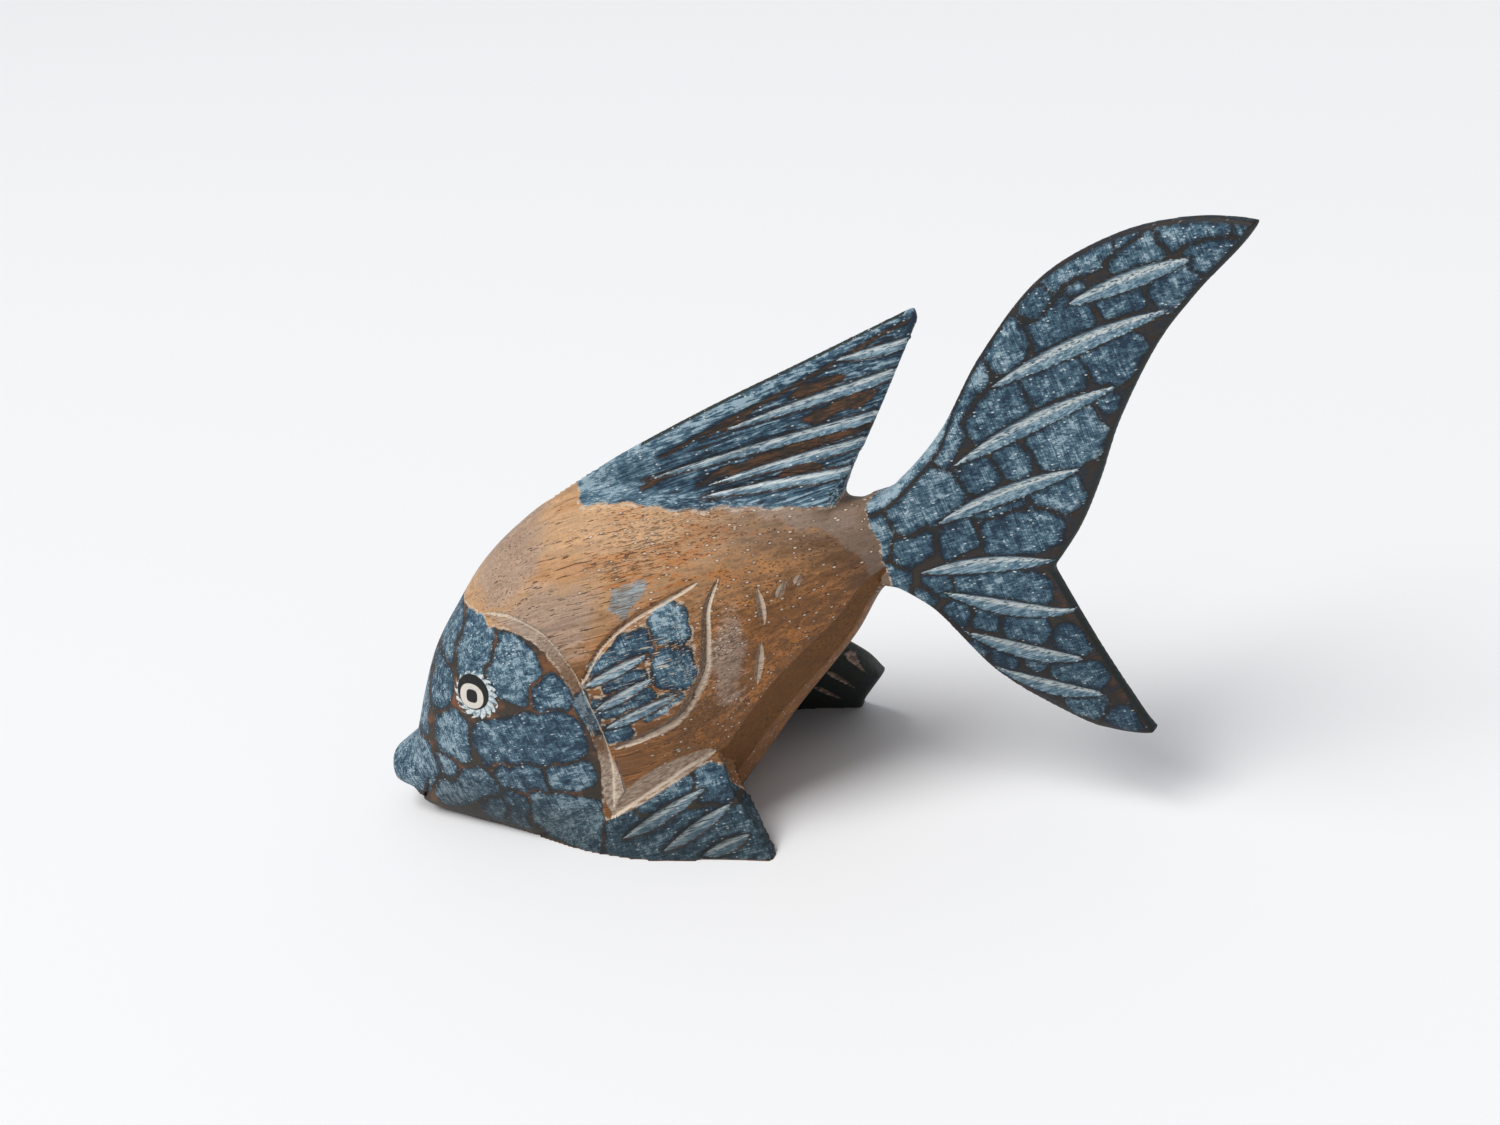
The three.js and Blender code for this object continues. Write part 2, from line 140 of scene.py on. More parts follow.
FOOT_FRONT = (-36, -3)
FOOT_TOP = [(-24, 3), (-8, 7.4), (3, 12.4)]
FOOT_TOP_Y = [(-36, 8), (-24, 15.2), (-14, 18), (-4, 18.8), (5, 18.2), (28, 17.4)]
FOOT_FLARE = [(-36, 2), (-24, 2.6), (-14, 4.3), (-4, 6), (4, 7), (28, 7)]
FOOT_HEIGHT = 17
FOOT_TOP_THICKNESS = 4.8
FOOT_BOTTOM_THICKNESS = [(-36, 8), (-8, 6), (12, 3.6), (28, 2.6)]
FOOT_BEVEL = 1.2
FOOT_RIBS = 90
FOOT_UPPER_SHARE = 0.66

# Cuts on both flanks, as (x, z) along the deepest line of each

GILL_LINE = [
    (-26.5, 41.6), (-21.3, 42), (-15.3, 40.3), (-11.9, 37.3), (-9.2, 33.2), (-7.3, 27),
    (-6.2, 21.1), (-6.4, 15.1), (-8.4, 6.6),
]
SIDE_FIN_TOP = [(-7.8, 32.2), (-3.1, 38.2), (3.1, 42.3), (15.2, 47)]
SIDE_FIN_REAR = [
    (18.6, 47), (16.6, 43), (15.7, 37), (14.4, 31.8), (9.3, 25.4), (3.9, 22.7), (-4.6, 20),
]
FOOT_LINE = [(-8.4, 6.4), (3, 12.6), (12.8, 17)]
MOUTH_LINE = [(-52.6, 2.2), (-49.6, 5.2), (-47.4, 9.4)]
SIDE_FIN_RAYS = [(-7.9, 31.5, 5.7, 36.8), (-6.7, 27.2, 6, 32.8), (-5.6, 23.8, 9.7, 29.4)]
SCALE_CUTS = [
    (24.7, 44.6, 24.9, 38.1), (23.9, 35.6, 21.4, 27.4), (27.2, 41.8, 29, 44.8),
    (30.2, 43.6, 31.6, 45.4),
]
TAIL_RAYS = [
    (80.6, 87.2, 100.8, 94.5), (66.1, 73.9, 96.5, 86.8), (58.3, 61.1, 86.7, 74.7),
    (53.7, 51.1, 79.2, 61.1), (49.6, 42.6, 72.5, 45), (53, 39.1, 74.6, 36.3),
    (55.3, 31.9, 75.3, 27.9), (58.9, 25.3, 77.6, 21.8),
]
UPPER_TAIL_RAYS = 4
FIN_RAYS = [
    (41, 78.6, 53.4, 81.4), (19, 67.4, 50, 76.4), (3.3, 59.6, 45.9, 69.5),
    (15.5, 58.6, 43, 65.1), (14, 56.8, 40, 60.2),
]
FOOT_RAYS = [(-6.7, 3.2, 10.5, 11.4), (1.5, 1.6, 15.3, 9), (9, 0.8, 18.4, 4.2)]

# Patches of blue paint on both flanks: the ends of each one's long axis and its width

HEAD_PATCHES = [
    (-32.6, 40.8, -38, 32.9, 4.6), (-26.8, 41.4, -33.5, 31.6, 7.6), (-19.6, 38.6, -23.4, 29.2, 9.6),
    (-18.9, 29.6, -11.2, 31.2, 4.8), (-37.9, 31.9, -41.6, 23.8, 4.1), (-37.7, 24.2, -39.4, 15.5, 6.4),
    (-33.1, 17.9, -10.5, 23.2, 9.3), (-31.1, 13.8, -19.7, 13.9, 5.8), (-20, 13.8, -10, 15.7, 4.4),
    (-46.8, 6.1, -31.8, 11.6, 5.5), (-43.2, 30.4, -47.4, 17.6, 2.8), (-57.5, 10.6, -44.4, 13, 11), (-44.1, 11.7, -39.8, 13.1, 4.8),
    (-35.3, 6.7, -31.8, 4.5, 5.8), (-30.2, 6.8, -26.4, 5.4, 7.1), (-24.8, 6.8, -9.5, 4.6, 9.1),
]
SIDE_FIN_PATCHES = [
    (-5.3, 34.1, 6.5, 39.6, 3.5), (6.2, 41.3, 12.8, 41.1, 5.5), (6.4, 33.6, 13, 34.6, 6.3),
    (-3.5, 32.3, 4.7, 32.8, 2.2), (-5.8, 27.7, 5, 30.3, 2.3), (3.2, 26, 9.9, 28.4, 2.3),
    (-5.8, 22.9, -0.7, 23.4, 2.5), (-8.7, 30, -6.8, 23, 2),
]
TAIL_PATCHES = [
    (96.5, 97.9, 106.6, 99, 3.5), (107.7, 98.4, 110.1, 98.9, 2.2), (77.7, 90.6, 89, 96.3, 2.7),
    (89.5, 96.7, 92.5, 98.1, 1.9), (88.2, 93.5, 95.9, 96.3, 2.7), (100.5, 94, 106.4, 97.3, 3.3),
    (80.5, 89.4, 83.2, 90.2, 2.2), (95.2, 87.6, 99.9, 92.5, 3.7), (86, 86.8, 92, 88.5, 2.2),
    (74, 85.7, 78.2, 88.2, 3.1), (74.3, 81.9, 83.1, 87, 5.5), (67.8, 76.7, 72.4, 84, 4.5),
    (56, 61.9, 65.8, 77.5, 2.5), (82.9, 76.9, 91.1, 81.4, 5.9), (72.1, 73.3, 81.3, 77.3, 4.1),
    (62.1, 66, 71, 74.6, 6.1), (84.1, 71.5, 86.2, 73.2, 2.3), (72.2, 62.7, 82.6, 68.8, 7.7),
    (66.5, 60.3, 70.1, 63.5, 4.5), (59.8, 57.8, 64.3, 60.7, 4.2), (71, 55, 78.5, 58.1, 4.7),
    (59.9, 53.2, 68.4, 55.3, 2.7), (47.2, 51, 57.7, 58.7, 7.2), (61.3, 48.1, 74.1, 52, 6.3),
    (53.8, 46.9, 60.4, 50.4, 3.9), (46.3, 46.2, 53.3, 49.3, 4.5), (55.5, 41, 70.5, 39.7, 4.8),
    (50.7, 40.8, 53.8, 40.9, 3.3), (48.2, 38.6, 50.8, 37.2, 2.8), (57.2, 35, 61.9, 34.2, 3.4),
    (62.4, 33.1, 69.4, 32.6, 3.4), (71.4, 32, 75.1, 29.8, 4.3), (58.8, 27.8, 62.7, 26.6, 2.2),
    (65.5, 26.9, 67.9, 26.7, 1.7), (69.5, 26.1, 77.6, 24.4, 3.5), (71.9, 19.8, 77.6, 18.9, 3.9),
    (76.8, 18.1, 83, 17.1, 3.1), (53.8, 36.6, 56.4, 33.9, 2.4), (56.3, 29.1, 58.3, 27.1, 1.8),
]
# Streaks without paint on the back fin, laid out like the patches
FIN_BARE = [
    (39.8, 78.6, 49.2, 83.1, 1.4), (31.5, 72.5, 42.4, 75.9, 1.9), (33.4, 68.3, 47.4, 73.5, 2.2),
    (13.2, 58.9, 45.1, 67.6, 1.9), (27.1, 59.2, 36, 61.4, 1.8), (14.8, 65.8, 28.7, 72.4, 1.1),
    (2.7, 58.2, 8.3, 60.8, 1.1), (30.4, 59.5, 38.6, 60.6, 1.2),
]
PATCH_GAP = 0.6
PATCH_GROWTH = 0.8
SIDE_PATCH_GROWTH = 0.6
TAIL_ROOT_PATCHES = [(43.8, 46, 43.4, 53, 5), (45, 39.6, 45.4, 44, 5)]
FOOT_PATCHES = [
    (-2.5, 8, 9, 13.2, 3), (8.3, 12.6, 15.6, 13.6, 6.6), (-11, 2.2, 23.4, 3.8, 9),
    (19.5, 15.6, 25.5, 17, 5), (20.5, 8.6, 28, 10.8, 6.4), (22, 2.6, 27, 4.4, 5),
]

# Painted zones on both flanks, as closed (x, z) outlines

GILL_BAND = 1.7
HEAD_TOP = [(-62, -6), (-62, 41.6), (-27.2, 41.4)]
HEAD_BOTTOM = [(-9.6, 5.2), (-3, 4.2), (-3, -6)]
TAIL_ZONE = [
    (41.2, 60), (42.6, 54), (44.2, 48), (44.8, 38), (44.8, -10), (130, -10), (130, 120), (41.2, 120),
]
FIN_ZONE = [
    (-9.2, 62), (-9.4, 59), (-8, 57.6), (-5.8, 57.1), (6.1, 56.6), (14.7, 55.8), (23.1, 55),
    (26.3, 54.8), (30.4, 55), (36.7, 54.4), (42.4, 60), (64, 95), (-9.2, 95),
]
SIDE_FIN_ZONE = [
    (-9.8, 31.6), (-5.8, 34.8), (-2, 38.4), (2.8, 41), (7.4, 43.6), (11, 44.8), (13.8, 43.8),
    (14.6, 40), (14.6, 36), (13.4, 32.4), (10.4, 28.6), (6.4, 26), (1.2, 24), (-1, 21.8),
    (-5, 21.2), (-7.4, 22.2), (-10, 28),
]
FOOT_ZONE_MARGIN = 0.8
FOOT_ZONE_SHIFTS = {"top": (-1.7, -1.8), "shoulder": (1, -0.6), "rear": (2, -1), "tip": (2.2, -0.4)}
FOOT_ZONE_INWARD = 1.3
FOOT_ZONE_LOW_INWARD = 3
FOOT_INNER = {"height": 22, "front": -2, "past": 0.7}
FOOT_INNER_FACING = {LEFT: 0.05, RIGHT: 0.5}
FOOT_ZONE_LOW = (8, 12.5)
FIN_BAND = [(-16, 4.5), (5, 3.2), (30, 2.6), (50, 1.2)]
TAIL_BAND = 1.5
TAIL_BAND_END = (56, 60)
CREST_LINE = 0.1
UPPER_FACET = [
    (14.3, 56), (18.4, 55.2), (25.3, 53.8), (32, 51.8), (38.2, 49.7), (41.6, 44.7), (42.4, 39),
    (47, 38), (47, 60), (14, 60),
]
STAIN = [(-0.6, 46.6), (6.6, 48.6), (6.2, 46.4), (1.8, 42.4), (-0.8, 44)]

# Stage, in metres, watts and degrees; the camera in millimetres

FLOOR_REACH = 12
FLOOR_COLOUR = (0.86, 0.86, 0.86, 1)
FLOOR_ROUGHNESS = 0.6
SKY_COLOUR = (0.93, 0.95, 1, 1)
SKY_STRENGTH = 0.42
KEY_PLACE = (-2, -2, 5.6)
KEY_SIZE = 4
KEY_POWER = 358
CAMERA_LENS = 52.8
CAMERA_SENSOR = 36
CAMERA_CLIP = 0.01
CAMERA_AZIMUTH = math.radians(20)
CAMERA_ELEVATION = math.radians(25)
CAMERA_ROLL = math.radians(-12.5)
CAMERA_DISTANCE = 366.97
CAMERA_TARGET = (33.863, 0, 42.164)

# Cuts: what the walls of each kind look like

LEFT_WALL, RIGHT_WALL = 1, -1
GILL_HEAD_WALL = [(0, 0.2), (0.12, 1.2), (0.5, 1.7), (0.9, 1.6), (1, 0.2)]
GILL_BODY_WALL = [(0, 0.2), (0.1, 0.75), (0.72, 0.8), (0.87, 2.4), (1, 0.3)]
GILL_WASH = [(0, 0.5), (0.3, 0.4), (0.7, 0.25), (0.79, 1), (1, 1)]
# How much painted shade darkens the gill cut's head wall, along its length.
GILL_SHADE = [(0, 0.15), (0.35, 0.35), (0.7, 0.5), (0.79, 0.1), (1, 0.1)]
# How pale the lip of the side fin's rear cut is along its length; the lip is partly a painted highlight.
SIDE_REAR_PALE = [(0, 0.85), (0.35, 0.8), (0.5, 0.5), (0.75, 0.4), (0.85, 0.8), (1, 0.8)]
FAR_FIN_RAYS = [(28.1, 11.6, 26.9, 17.7), (24.2, 6.2, 21.4, 11.9), (20.5, 2.4, 17.2, 6.7)]
CUT_BOW = 0.02
TAIL_RAY_BOW = 0.035
SKIN_TOLERANCE = 2.2
SNAP_SHARE = 0.4
CUT_MARGIN = 2.0
BLADE_SHARE = 0.4
WALL_REACH = 1.6
FAR = 9.0

# Knife facets

CHAMFER_TURN = math.radians(58)
CHAMFER_DEPTH = [(2, 0), (10, 0.45), (30, 0.55), (41, 0.35), (STALK, 0)]
FACET_RUN = (-40, 40, 10.5)
FACET_SHARES = (0.2, 0.5, 0.78)
FACET_JITTER = 2.4
FACET_SEED = 5


class KoiSizes(bpy.types.PropertyGroup):
    """Sizes of the carved koi that a user would change."""

    mesh_step: bpy.props.FloatProperty(
        name="Mesh step", description="Length of one mesh edge on the carved skin",
        default=0.545 * MM, min=0.4 * MM, precision=5, unit="LENGTH",
    )
    bend_radius: bpy.props.FloatProperty(
        name="Bend radius", description="Radius of the arc that the spine follows",
        default=320 * MM, min=100 * MM, unit="LENGTH",
    )
    cut_depth: bpy.props.FloatProperty(
        name="Cut depth", description="Depth of a gouge cut in the middle of its length",
        default=0.9 * MM, min=0, precision=5, unit="LENGTH",
    )
    facet_depth: bpy.props.FloatProperty(
        name="Knife facet depth", description="How much the broad knife strokes take off the body",
        default=0.2 * MM, min=0, precision=5, unit="LENGTH",
    )


def colour_property(name, description, red, green, blue):
    """A colour property, from the shade's 8-bit screen values."""
    screen = np.array([red, green, blue]) / 255
    linear = np.where(screen > 0.04045, ((screen + 0.055) / 1.055) ** 2.4, screen / 12.92)
    return bpy.props.FloatVectorProperty(
        name=name, description=description, default=linear.tolist(), min=0, max=1, size=3,
        subtype="COLOR",
    )


class KoiColours(bpy.types.PropertyGroup):
    """Colours of the wood and of the paint."""

    # Tan on the back and brown low on the flank: the change between them is partly the wood's own tone and
    # partly painted shade.
    tan: colour_property("Tan wood", "Lightest bare wood, on the back", 190, 151, 112)
    brown: colour_property("Brown wood", "Bare wood low on the flank", 120, 80, 45)
    orange: colour_property("Orange wood", "Warm streaks in the bare wood", 160, 104, 54)
    ash: colour_property("Ash wood", "Darker washed zones towards the tail", 122, 104, 90)
    grey: colour_property("Grey wood", "Washed grey zones of the bare wood", 158, 136, 120)
    # This brown is the wood's vessels, and it also serves for painted shade on the dark walls of cuts and the
    # painted shadow round pores.
    vessel_and_shade: colour_property("Vessels", "Fine dark dashes along the grain", 64, 42, 30)
    chamfer: colour_property("Chamfer wood", "Planed lower edge of the flank", 100, 60, 6)
    # This pale is cut wood on washed walls, chips and scratches, and it also serves for painted glints on pores
    # and for the lips of cuts, which are partly painted highlights.
    pale_wood_and_glint: colour_property("Fresh cut", "Pale walls of cuts and pale pores", 222, 204, 182)
    navy: colour_property("Navy paint", "Dark blue round and inside a patch", 29, 50, 68)
    denim: colour_property("Denim paint", "Mid blue of a patch", 66, 96, 113)
    sky: colour_property("Pale paint", "Dry-brushed pale blue", 148, 170, 180)
    # White paint for flecks and lashes, and also for painted glints where pores catch the light through the
    # paint, and for the ridge lines of rays, partly painted highlights.
    white: colour_property("White paint", "Specks, edges and lashes", 218, 224, 222)
    bone: colour_property("Bone white", "Ring of the eye", 214, 206, 196)
    umber: colour_property("Umber gap", "Dark brown between the patches", 62, 52, 43)
    # This dark green is the inner faces' own paint together with painted shade, and it is also the colour that
    # low paint and the tail's edge darken towards as painted shade.
    moss: colour_property("Inner face", "Dark inner faces of the belly fins", 36, 42, 35)
    rust: colour_property("Rust gap", "Warm brown between the patches", 116, 76, 48)
    black: colour_property("Black paint", "Pupil and the disc behind the eye", 22, 22, 22)


# Curves and outlines


def monotone(points):
    """Smooth curve through (x, value) pairs that never overshoots, as a function on arrays.

    Between two points it is the cubic with their values and slopes. A slope is the harmonic
    mean of the two neighbouring secants, and the curve is level past both ends.
    """
    xs, ys = np.array(points, float).T
    secants = np.diff(ys) / np.diff(xs)
    before, after = secants[:-1], secants[1:]
    rising = before * after > 0
    slopes = np.concatenate([secants[:1], np.zeros(len(before)), secants[-1:]])
    slopes[1:-1] = np.where(rising, 2 * before * after / np.where(rising, before + after, 1), 0)

    def curve(x):
        at = np.clip(x, xs[0], xs[-1])
        i = np.clip(np.searchsorted(xs, at, side="right") - 1, 0, len(xs) - 2)
        run = xs[i + 1] - xs[i]
        t = (at - xs[i]) / run
        rise = ys[i] + (ys[i + 1] - ys[i]) * t * t * (3 - 2 * t)
        return rise + run * t * (1 - t) * (slopes[i] * (1 - t) - slopes[i + 1] * t)

    return curve


def smooth_path(pairs, count, steps=40):
    """Evenly spaced points on the Catmull-Rom curve through (x, z) pairs.

    Each stretch is a cubic in t whose end slopes are half the step between its outer
    neighbours; the whole is then resampled by length.
    """
    given = np.array(pairs, float)
    ends = np.vstack([given[:1], given, given[-1:]])
    stretches = len(given) - 1
    p0, p1, p2, p3 = (ends[k : k + stretches] for k in range(4))
    t = np.linspace(0, 1, steps, endpoint=False)[:, None, None]
    start, end = (p2 - p0) / 2, (p3 - p1) / 2
    bend = (2 * p1 - 2 * p2 + start + end) * t**3 + (3 * p2 - 3 * p1 - 2 * start - end) * t**2
    dense = (bend + start * t + p1).transpose(1, 0, 2).reshape(-1, 2)
    dense = np.vstack([dense, given[-1]])
    length = np.concatenate([[0], np.cumsum(np.linalg.norm(np.diff(dense, axis=0), axis=1))])
    even = np.linspace(0, length[-1], count)
    return np.stack([np.interp(even, length, dense[:, k]) for k in range(2)], -1)


def join_runs(*runs):
    """Paths that start where the one before ends, as one path."""
    return np.vstack([runs[0], *(run[1:] for run in runs[1:])])


def bowed_path(row, bow, count=24):
    """Points from (x0, z0) to (x1, z1) that swing aside by 4 * bow * s * (1 - s) lengths."""
    start, end = np.array(row[:2], float), np.array(row[2:], float)
    run = end - start
    share = np.linspace(0, 1, count)[:, None]
    aside = np.array([-run[1], run[0]])
    return start + run * share + aside * 4 * bow * share * (1 - share)


def smoothstep(value, low, high):
    """0 below low, 1 above high, 3t^2 - 2t^3 between."""
    t = np.clip((value - low) / (high - low), 0, 1)
    return t * t * (3 - 2 * t)


def beside(places, path):
    """For each place: share along a path, distance to its left, and the unit vector to its left."""
    start, run = path[:-1], np.diff(path, axis=0)
    length = np.linalg.norm(run, axis=1)
    gap = places[:, None] - start
    t = np.clip((gap * run).sum(2) / length**2, 0, 1)
    off = gap - t[..., None] * run
    nearest = (off**2).sum(2).argmin(1)
    rows = np.arange(len(places))
    before = np.concatenate([[0], np.cumsum(length)])
    share = (before[nearest] + t[rows, nearest] * length[nearest]) / before[-1]
    left = np.stack([-run[nearest, 1], run[nearest, 0]], -1) / length[nearest, None]
    away = off[rows, nearest]
    return share, np.sign((gap[rows, nearest] * left).sum(1)) * np.linalg.norm(away, axis=1), left


def outline_distance(places, outline):
    """Distance from a closed outline, positive inside, where an odd number of edges lies above."""
    outline = np.array(outline, float)
    nearest = np.full(len(places), np.inf)
    inside = np.zeros(len(places), bool)
    for a, b in zip(outline, np.roll(outline, -1, axis=0)):
        run, gap = b - a, places - a
        t = np.clip(gap @ run / (run @ run), 0, 1)
        nearest = np.minimum(nearest, np.linalg.norm(gap - t[:, None] * run, axis=1))
        spans = (a[0] > places[:, 0]) != (b[0] > places[:, 0])
        rise = a[1] + (places[:, 0] - a[0]) * run[1] / (run[0] if run[0] else 1)
        inside ^= spans & (places[:, 1] < rise)
    return np.where(inside, nearest, -nearest)


def patch_distance(places, row, grow=0.0, corner=0.75):
    """Distance from the edge of a rounded oblong, positive inside: its long axis and its width."""
    start, end, width = np.array(row[:2]), np.array(row[2:4]), row[4]
    run = end - start
    length = np.linalg.norm(run)
    along = (places - (start + end) / 2) @ (run / length)
    across = (places - (start + end) / 2) @ (np.array([-run[1], run[0]]) / length)
    half = np.array([length / 2 + grow, width / 2 + grow])
    radius = corner * half.min()
    gap = np.abs(np.stack([along, across], -1)) - (half - radius)
    outer = np.linalg.norm(np.maximum(gap, 0), axis=1)
    return radius - outer - np.minimum(gap.max(1), 0)


def wobble(places, wave, size, seed):
    """Moves places about by sums of three sine waves, for edges drawn by hand."""
    turns = np.random.default_rng(seed).uniform(0, 2 * np.pi, (2, 3, 2))
    moved = np.zeros_like(places)
    for axis in range(2):
        for k, (heading, phase) in enumerate(turns[axis]):
            ahead = places @ np.array([np.cos(heading), np.sin(heading)])
            moved[:, axis] += np.sin(2 * np.pi * ahead / (wave * (1 - 0.22 * k)) + phase)
    return places + moved * size / 3


# Skins of the straight fish

back = monotone(BACK)
belly = monotone(BELLY)
half_width = monotone(HALF_WIDTH)
widest_height = monotone(WIDEST_HEIGHT)
upper_roundness = monotone(UPPER_ROUNDNESS)
lower_roundness = monotone(LOWER_ROUNDNESS)
tail_half_at = monotone(TAIL_HALF)
foot_top_y = monotone(FOOT_TOP_Y)
foot_flare = monotone(FOOT_FLARE)
foot_bottom_thickness = monotone(FOOT_BOTTOM_THICKNESS)
chamfer_depth = monotone(CHAMFER_DEPTH)


def body_skin():
    """Rings of the body, a superellipse at each x, sawn off level at z = 0.

    At angle a: y = W * sgn(cos a) * |cos a|^(2/n), z = middle + reach * sgn(sin a) * |sin a|^(2/n),
    with reach and roundness n of the upper or lower half.
    """
    share = np.linspace(0, 1, BODY_SECTIONS)[:, None]
    x = NOSE + (STALK - NOSE) * share * (1 - SECTION_CROWDING * (1 - share))
    angle = np.linspace(0, 2 * np.pi, BODY_SIDES, endpoint=False)
    cos, sin = np.cos(angle), np.sin(angle)
    above = sin >= 0
    middle = widest_height(x)
    power = 2 / np.where(above, upper_roundness(x), lower_roundness(x))
    reach = np.where(above, back(x) - middle, middle - belly(x))
    y = half_width(x) * np.sign(cos) * np.abs(cos) ** power
    z = middle + reach * np.sign(sin) * np.abs(sin) ** power
    return np.stack([x + 0 * y, y, np.maximum(z, 0)], -1)


def body_half(x, z):
    """Half the body's width at a height: W * (1 - share^n)^(1/n), share of the reach up or down."""
    middle = widest_height(x)
    above = z >= middle
    reach = np.where(above, back(x) - middle, middle - belly(x))
    power = np.where(above, upper_roundness(x), lower_roundness(x))
    share = np.minimum(1, np.abs(z - middle) / reach)
    return half_width(x) * (1 - share**power) ** (1 / power)


def tail_half(x, z):
    """Half the tail's thickness, by x alone."""
    return tail_half_at(x) + 0 * z


def fin_half(x, z):
    """Half the back fin's thickness: thinner upwards, swelling into the back, none at its front."""
    low, high = FIN_HEIGHTS
    share = np.clip((z - low) / (high - low), 0, 1)
    swell = FIN_ROOT_SWELL * np.exp(-np.maximum(0, z - low) / FIN_ROOT_REACH)
    plain = FIN_HALF_BASE + (FIN_HALF_TOP - FIN_HALF_BASE) * share
    return smoothstep(x, FIN_FRONT[0][0], FIN_FULL_X) * (plain + swell)


def foot_outer(x, z, splay=0):
    """How far out a belly fin's outer face lies: a line that flares downwards."""
    drop = 1 - z / FOOT_HEIGHT
    return foot_top_y(x) + (foot_flare(x) + splay * smoothstep(x, -20, 20)) * drop


def foot_thickness(x, z):
    """A belly fin's thickness, from its top to its thinner lower edge."""
    drop = np.clip(1 - z / FOOT_HEIGHT, 0, 1)
    return FOOT_TOP_THICKNESS + (foot_bottom_thickness(x) - FOOT_TOP_THICKNESS) * drop


def flank_half(x, z):
    """The outermost of the body and the belly fin."""
    return np.maximum(body_half(x, z), foot_outer(x, z))


def blade(front, rear, faces, bevel):
    """Rings of a thin part: one rib from each front point to its rear point, out and back.

    At a share of the rib, the two faces stand off their middle by the whole thickness, and
    towards both edges by less, down to EDGE_SHARE of it.
    """
    width = np.linalg.norm(rear - front, axis=1)[:, None]
    inset = np.minimum(bevel / np.maximum(width, bevel), WIDEST_BEVEL)
    edge = np.linspace(0, 1, BEVEL_STOPS)
    inner = np.linspace(0, 1, BLADE_STOPS)[1:-1]
    stops = np.hstack([inset * edge, inset + (1 - 2 * inset) * inner, 1 - inset * edge[::-1]])
    full = np.concatenate([edge, np.ones_like(inner), edge[::-1]])
    full = EDGE_SHARE + (1 - EDGE_SHARE) * full
    at = front[:, None] + (rear - front)[:, None] * stops[..., None]
    x, z = at[..., 0], np.maximum(at[..., 1], 0)
    near, far = faces(x, z)
    middle = (near + far) / 2
    there, home = (np.stack([x, middle + (y - middle) * full, z], -1) for y in (near, far))
    return np.concatenate([there, home[:, ::-1]], axis=1)


def tail_skin():
    """Rings of the forked tail: front edge round the root, rear edge through the notch."""
    front = join_runs(
        smooth_path(TAIL_UPPER_FRONT, TAIL_RIBS[0]),
        smooth_path([TAIL_UPPER_FRONT[-1], *TAIL_ROOT, TAIL_LOWER_FRONT[0]], TAIL_RIBS[1]),
        smooth_path(TAIL_LOWER_FRONT, TAIL_RIBS[2]),
    )
    upper = round(len(front) * TAIL_REAR_SHARE)
    rear = join_runs(
        smooth_path(TAIL_UPPER_REAR, upper),
        smooth_path(TAIL_LOWER_REAR, len(front) - upper + 1),
    )
    return blade(front, rear, lambda x, z: (-tail_half(x, z), tail_half(x, z)), TAIL_BEVEL)


def fin_skin():
    """Rings of the back fin, whose ribs end inside the body or on its rear edge."""
    below = round(FIN_RIBS * FIN_BASE_SHARE)
    rear = join_runs(
        smooth_path(FIN_BASE, below),
        smooth_path(FIN_REAR, FIN_RIBS - below + 1),
    )
    front = smooth_path(FIN_FRONT, FIN_RIBS)
    return blade(front, rear, lambda x, z: (-fin_half(x, z), fin_half(x, z)), FIN_BEVEL)


def foot_skin(side):
    """Rings of a belly fin, from its upper edge down to the ground."""
    shape = FOOT_SHAPES[side]
    top, shoulder, rear_end, tip = (shape[k] for k in ("top", "shoulder", "rear", "tip"))
    below = (tip[0], FOOT_FRONT[1])
    along = round(FOOT_RIBS * FOOT_UPPER_SHARE)
    behind = FOOT_RIBS - along + 1
    upper = join_runs(
        smooth_path([FOOT_FRONT, *FOOT_TOP, top], along),
        smooth_path([top, shoulder, rear_end], behind),
    )
    lower = join_runs(
        smooth_path([FOOT_FRONT, below], along),
        smooth_path([below, tip, rear_end], behind),
    )

    def faces(x, z):
        outer = foot_outer(x, z, shape["splay"])
        return side * outer, side * (outer - foot_thickness(x, z))

    return blade(upper, lower, faces, FOOT_BEVEL)


def one_skin(skins, step):
    """Points and quads of one even skin round closed skins, by a voxel remesh of that step."""
    points, faces, first = [], [], 0
    for rings in skins:
        count, size = rings.shape[:2]
        here = first + np.arange(count * size).reshape(count, size)
        ahead = np.roll(here, -1, axis=1)
        quads = np.stack([here[:-1], ahead[:-1], ahead[1:], here[1:]], -1).reshape(-1, 4)
        faces += quads.tolist() + [here[0, ::-1].tolist(), here[-1].tolist()]
        points.append(rings.reshape(-1, 3))
        first += count * size
    shell = bpy.data.meshes.new("shell")
    shell.from_pydata(np.vstack(points).tolist(), [], faces)
    model = bpy.data.objects.new("shell", shell)
    bpy.context.scene.collection.objects.link(model)
    remesh = model.modifiers.new("Skin", "REMESH")
    remesh.mode = "VOXEL"
    remesh.voxel_size = step
    made = bpy.data.meshes.new_from_object(
        model.evaluated_get(bpy.context.evaluated_depsgraph_get())
    )
    skin = np.empty(len(made.vertices) * 3, np.float32)
    made.vertices.foreach_get("co", skin)
    corners = np.empty(len(made.loops), np.int32)
    made.loops.foreach_get("vertex_index", corners)
    if len(made.loops) != 4 * len(made.polygons) or not len(made.polygons):
        raise RuntimeError("the remeshed skin isn't made of quads")
    bpy.data.objects.remove(model)
    bpy.data.meshes.remove(shell)
    bpy.data.meshes.remove(made)
    return skin.reshape(-1, 3).astype(float), corners.reshape(-1, 4)


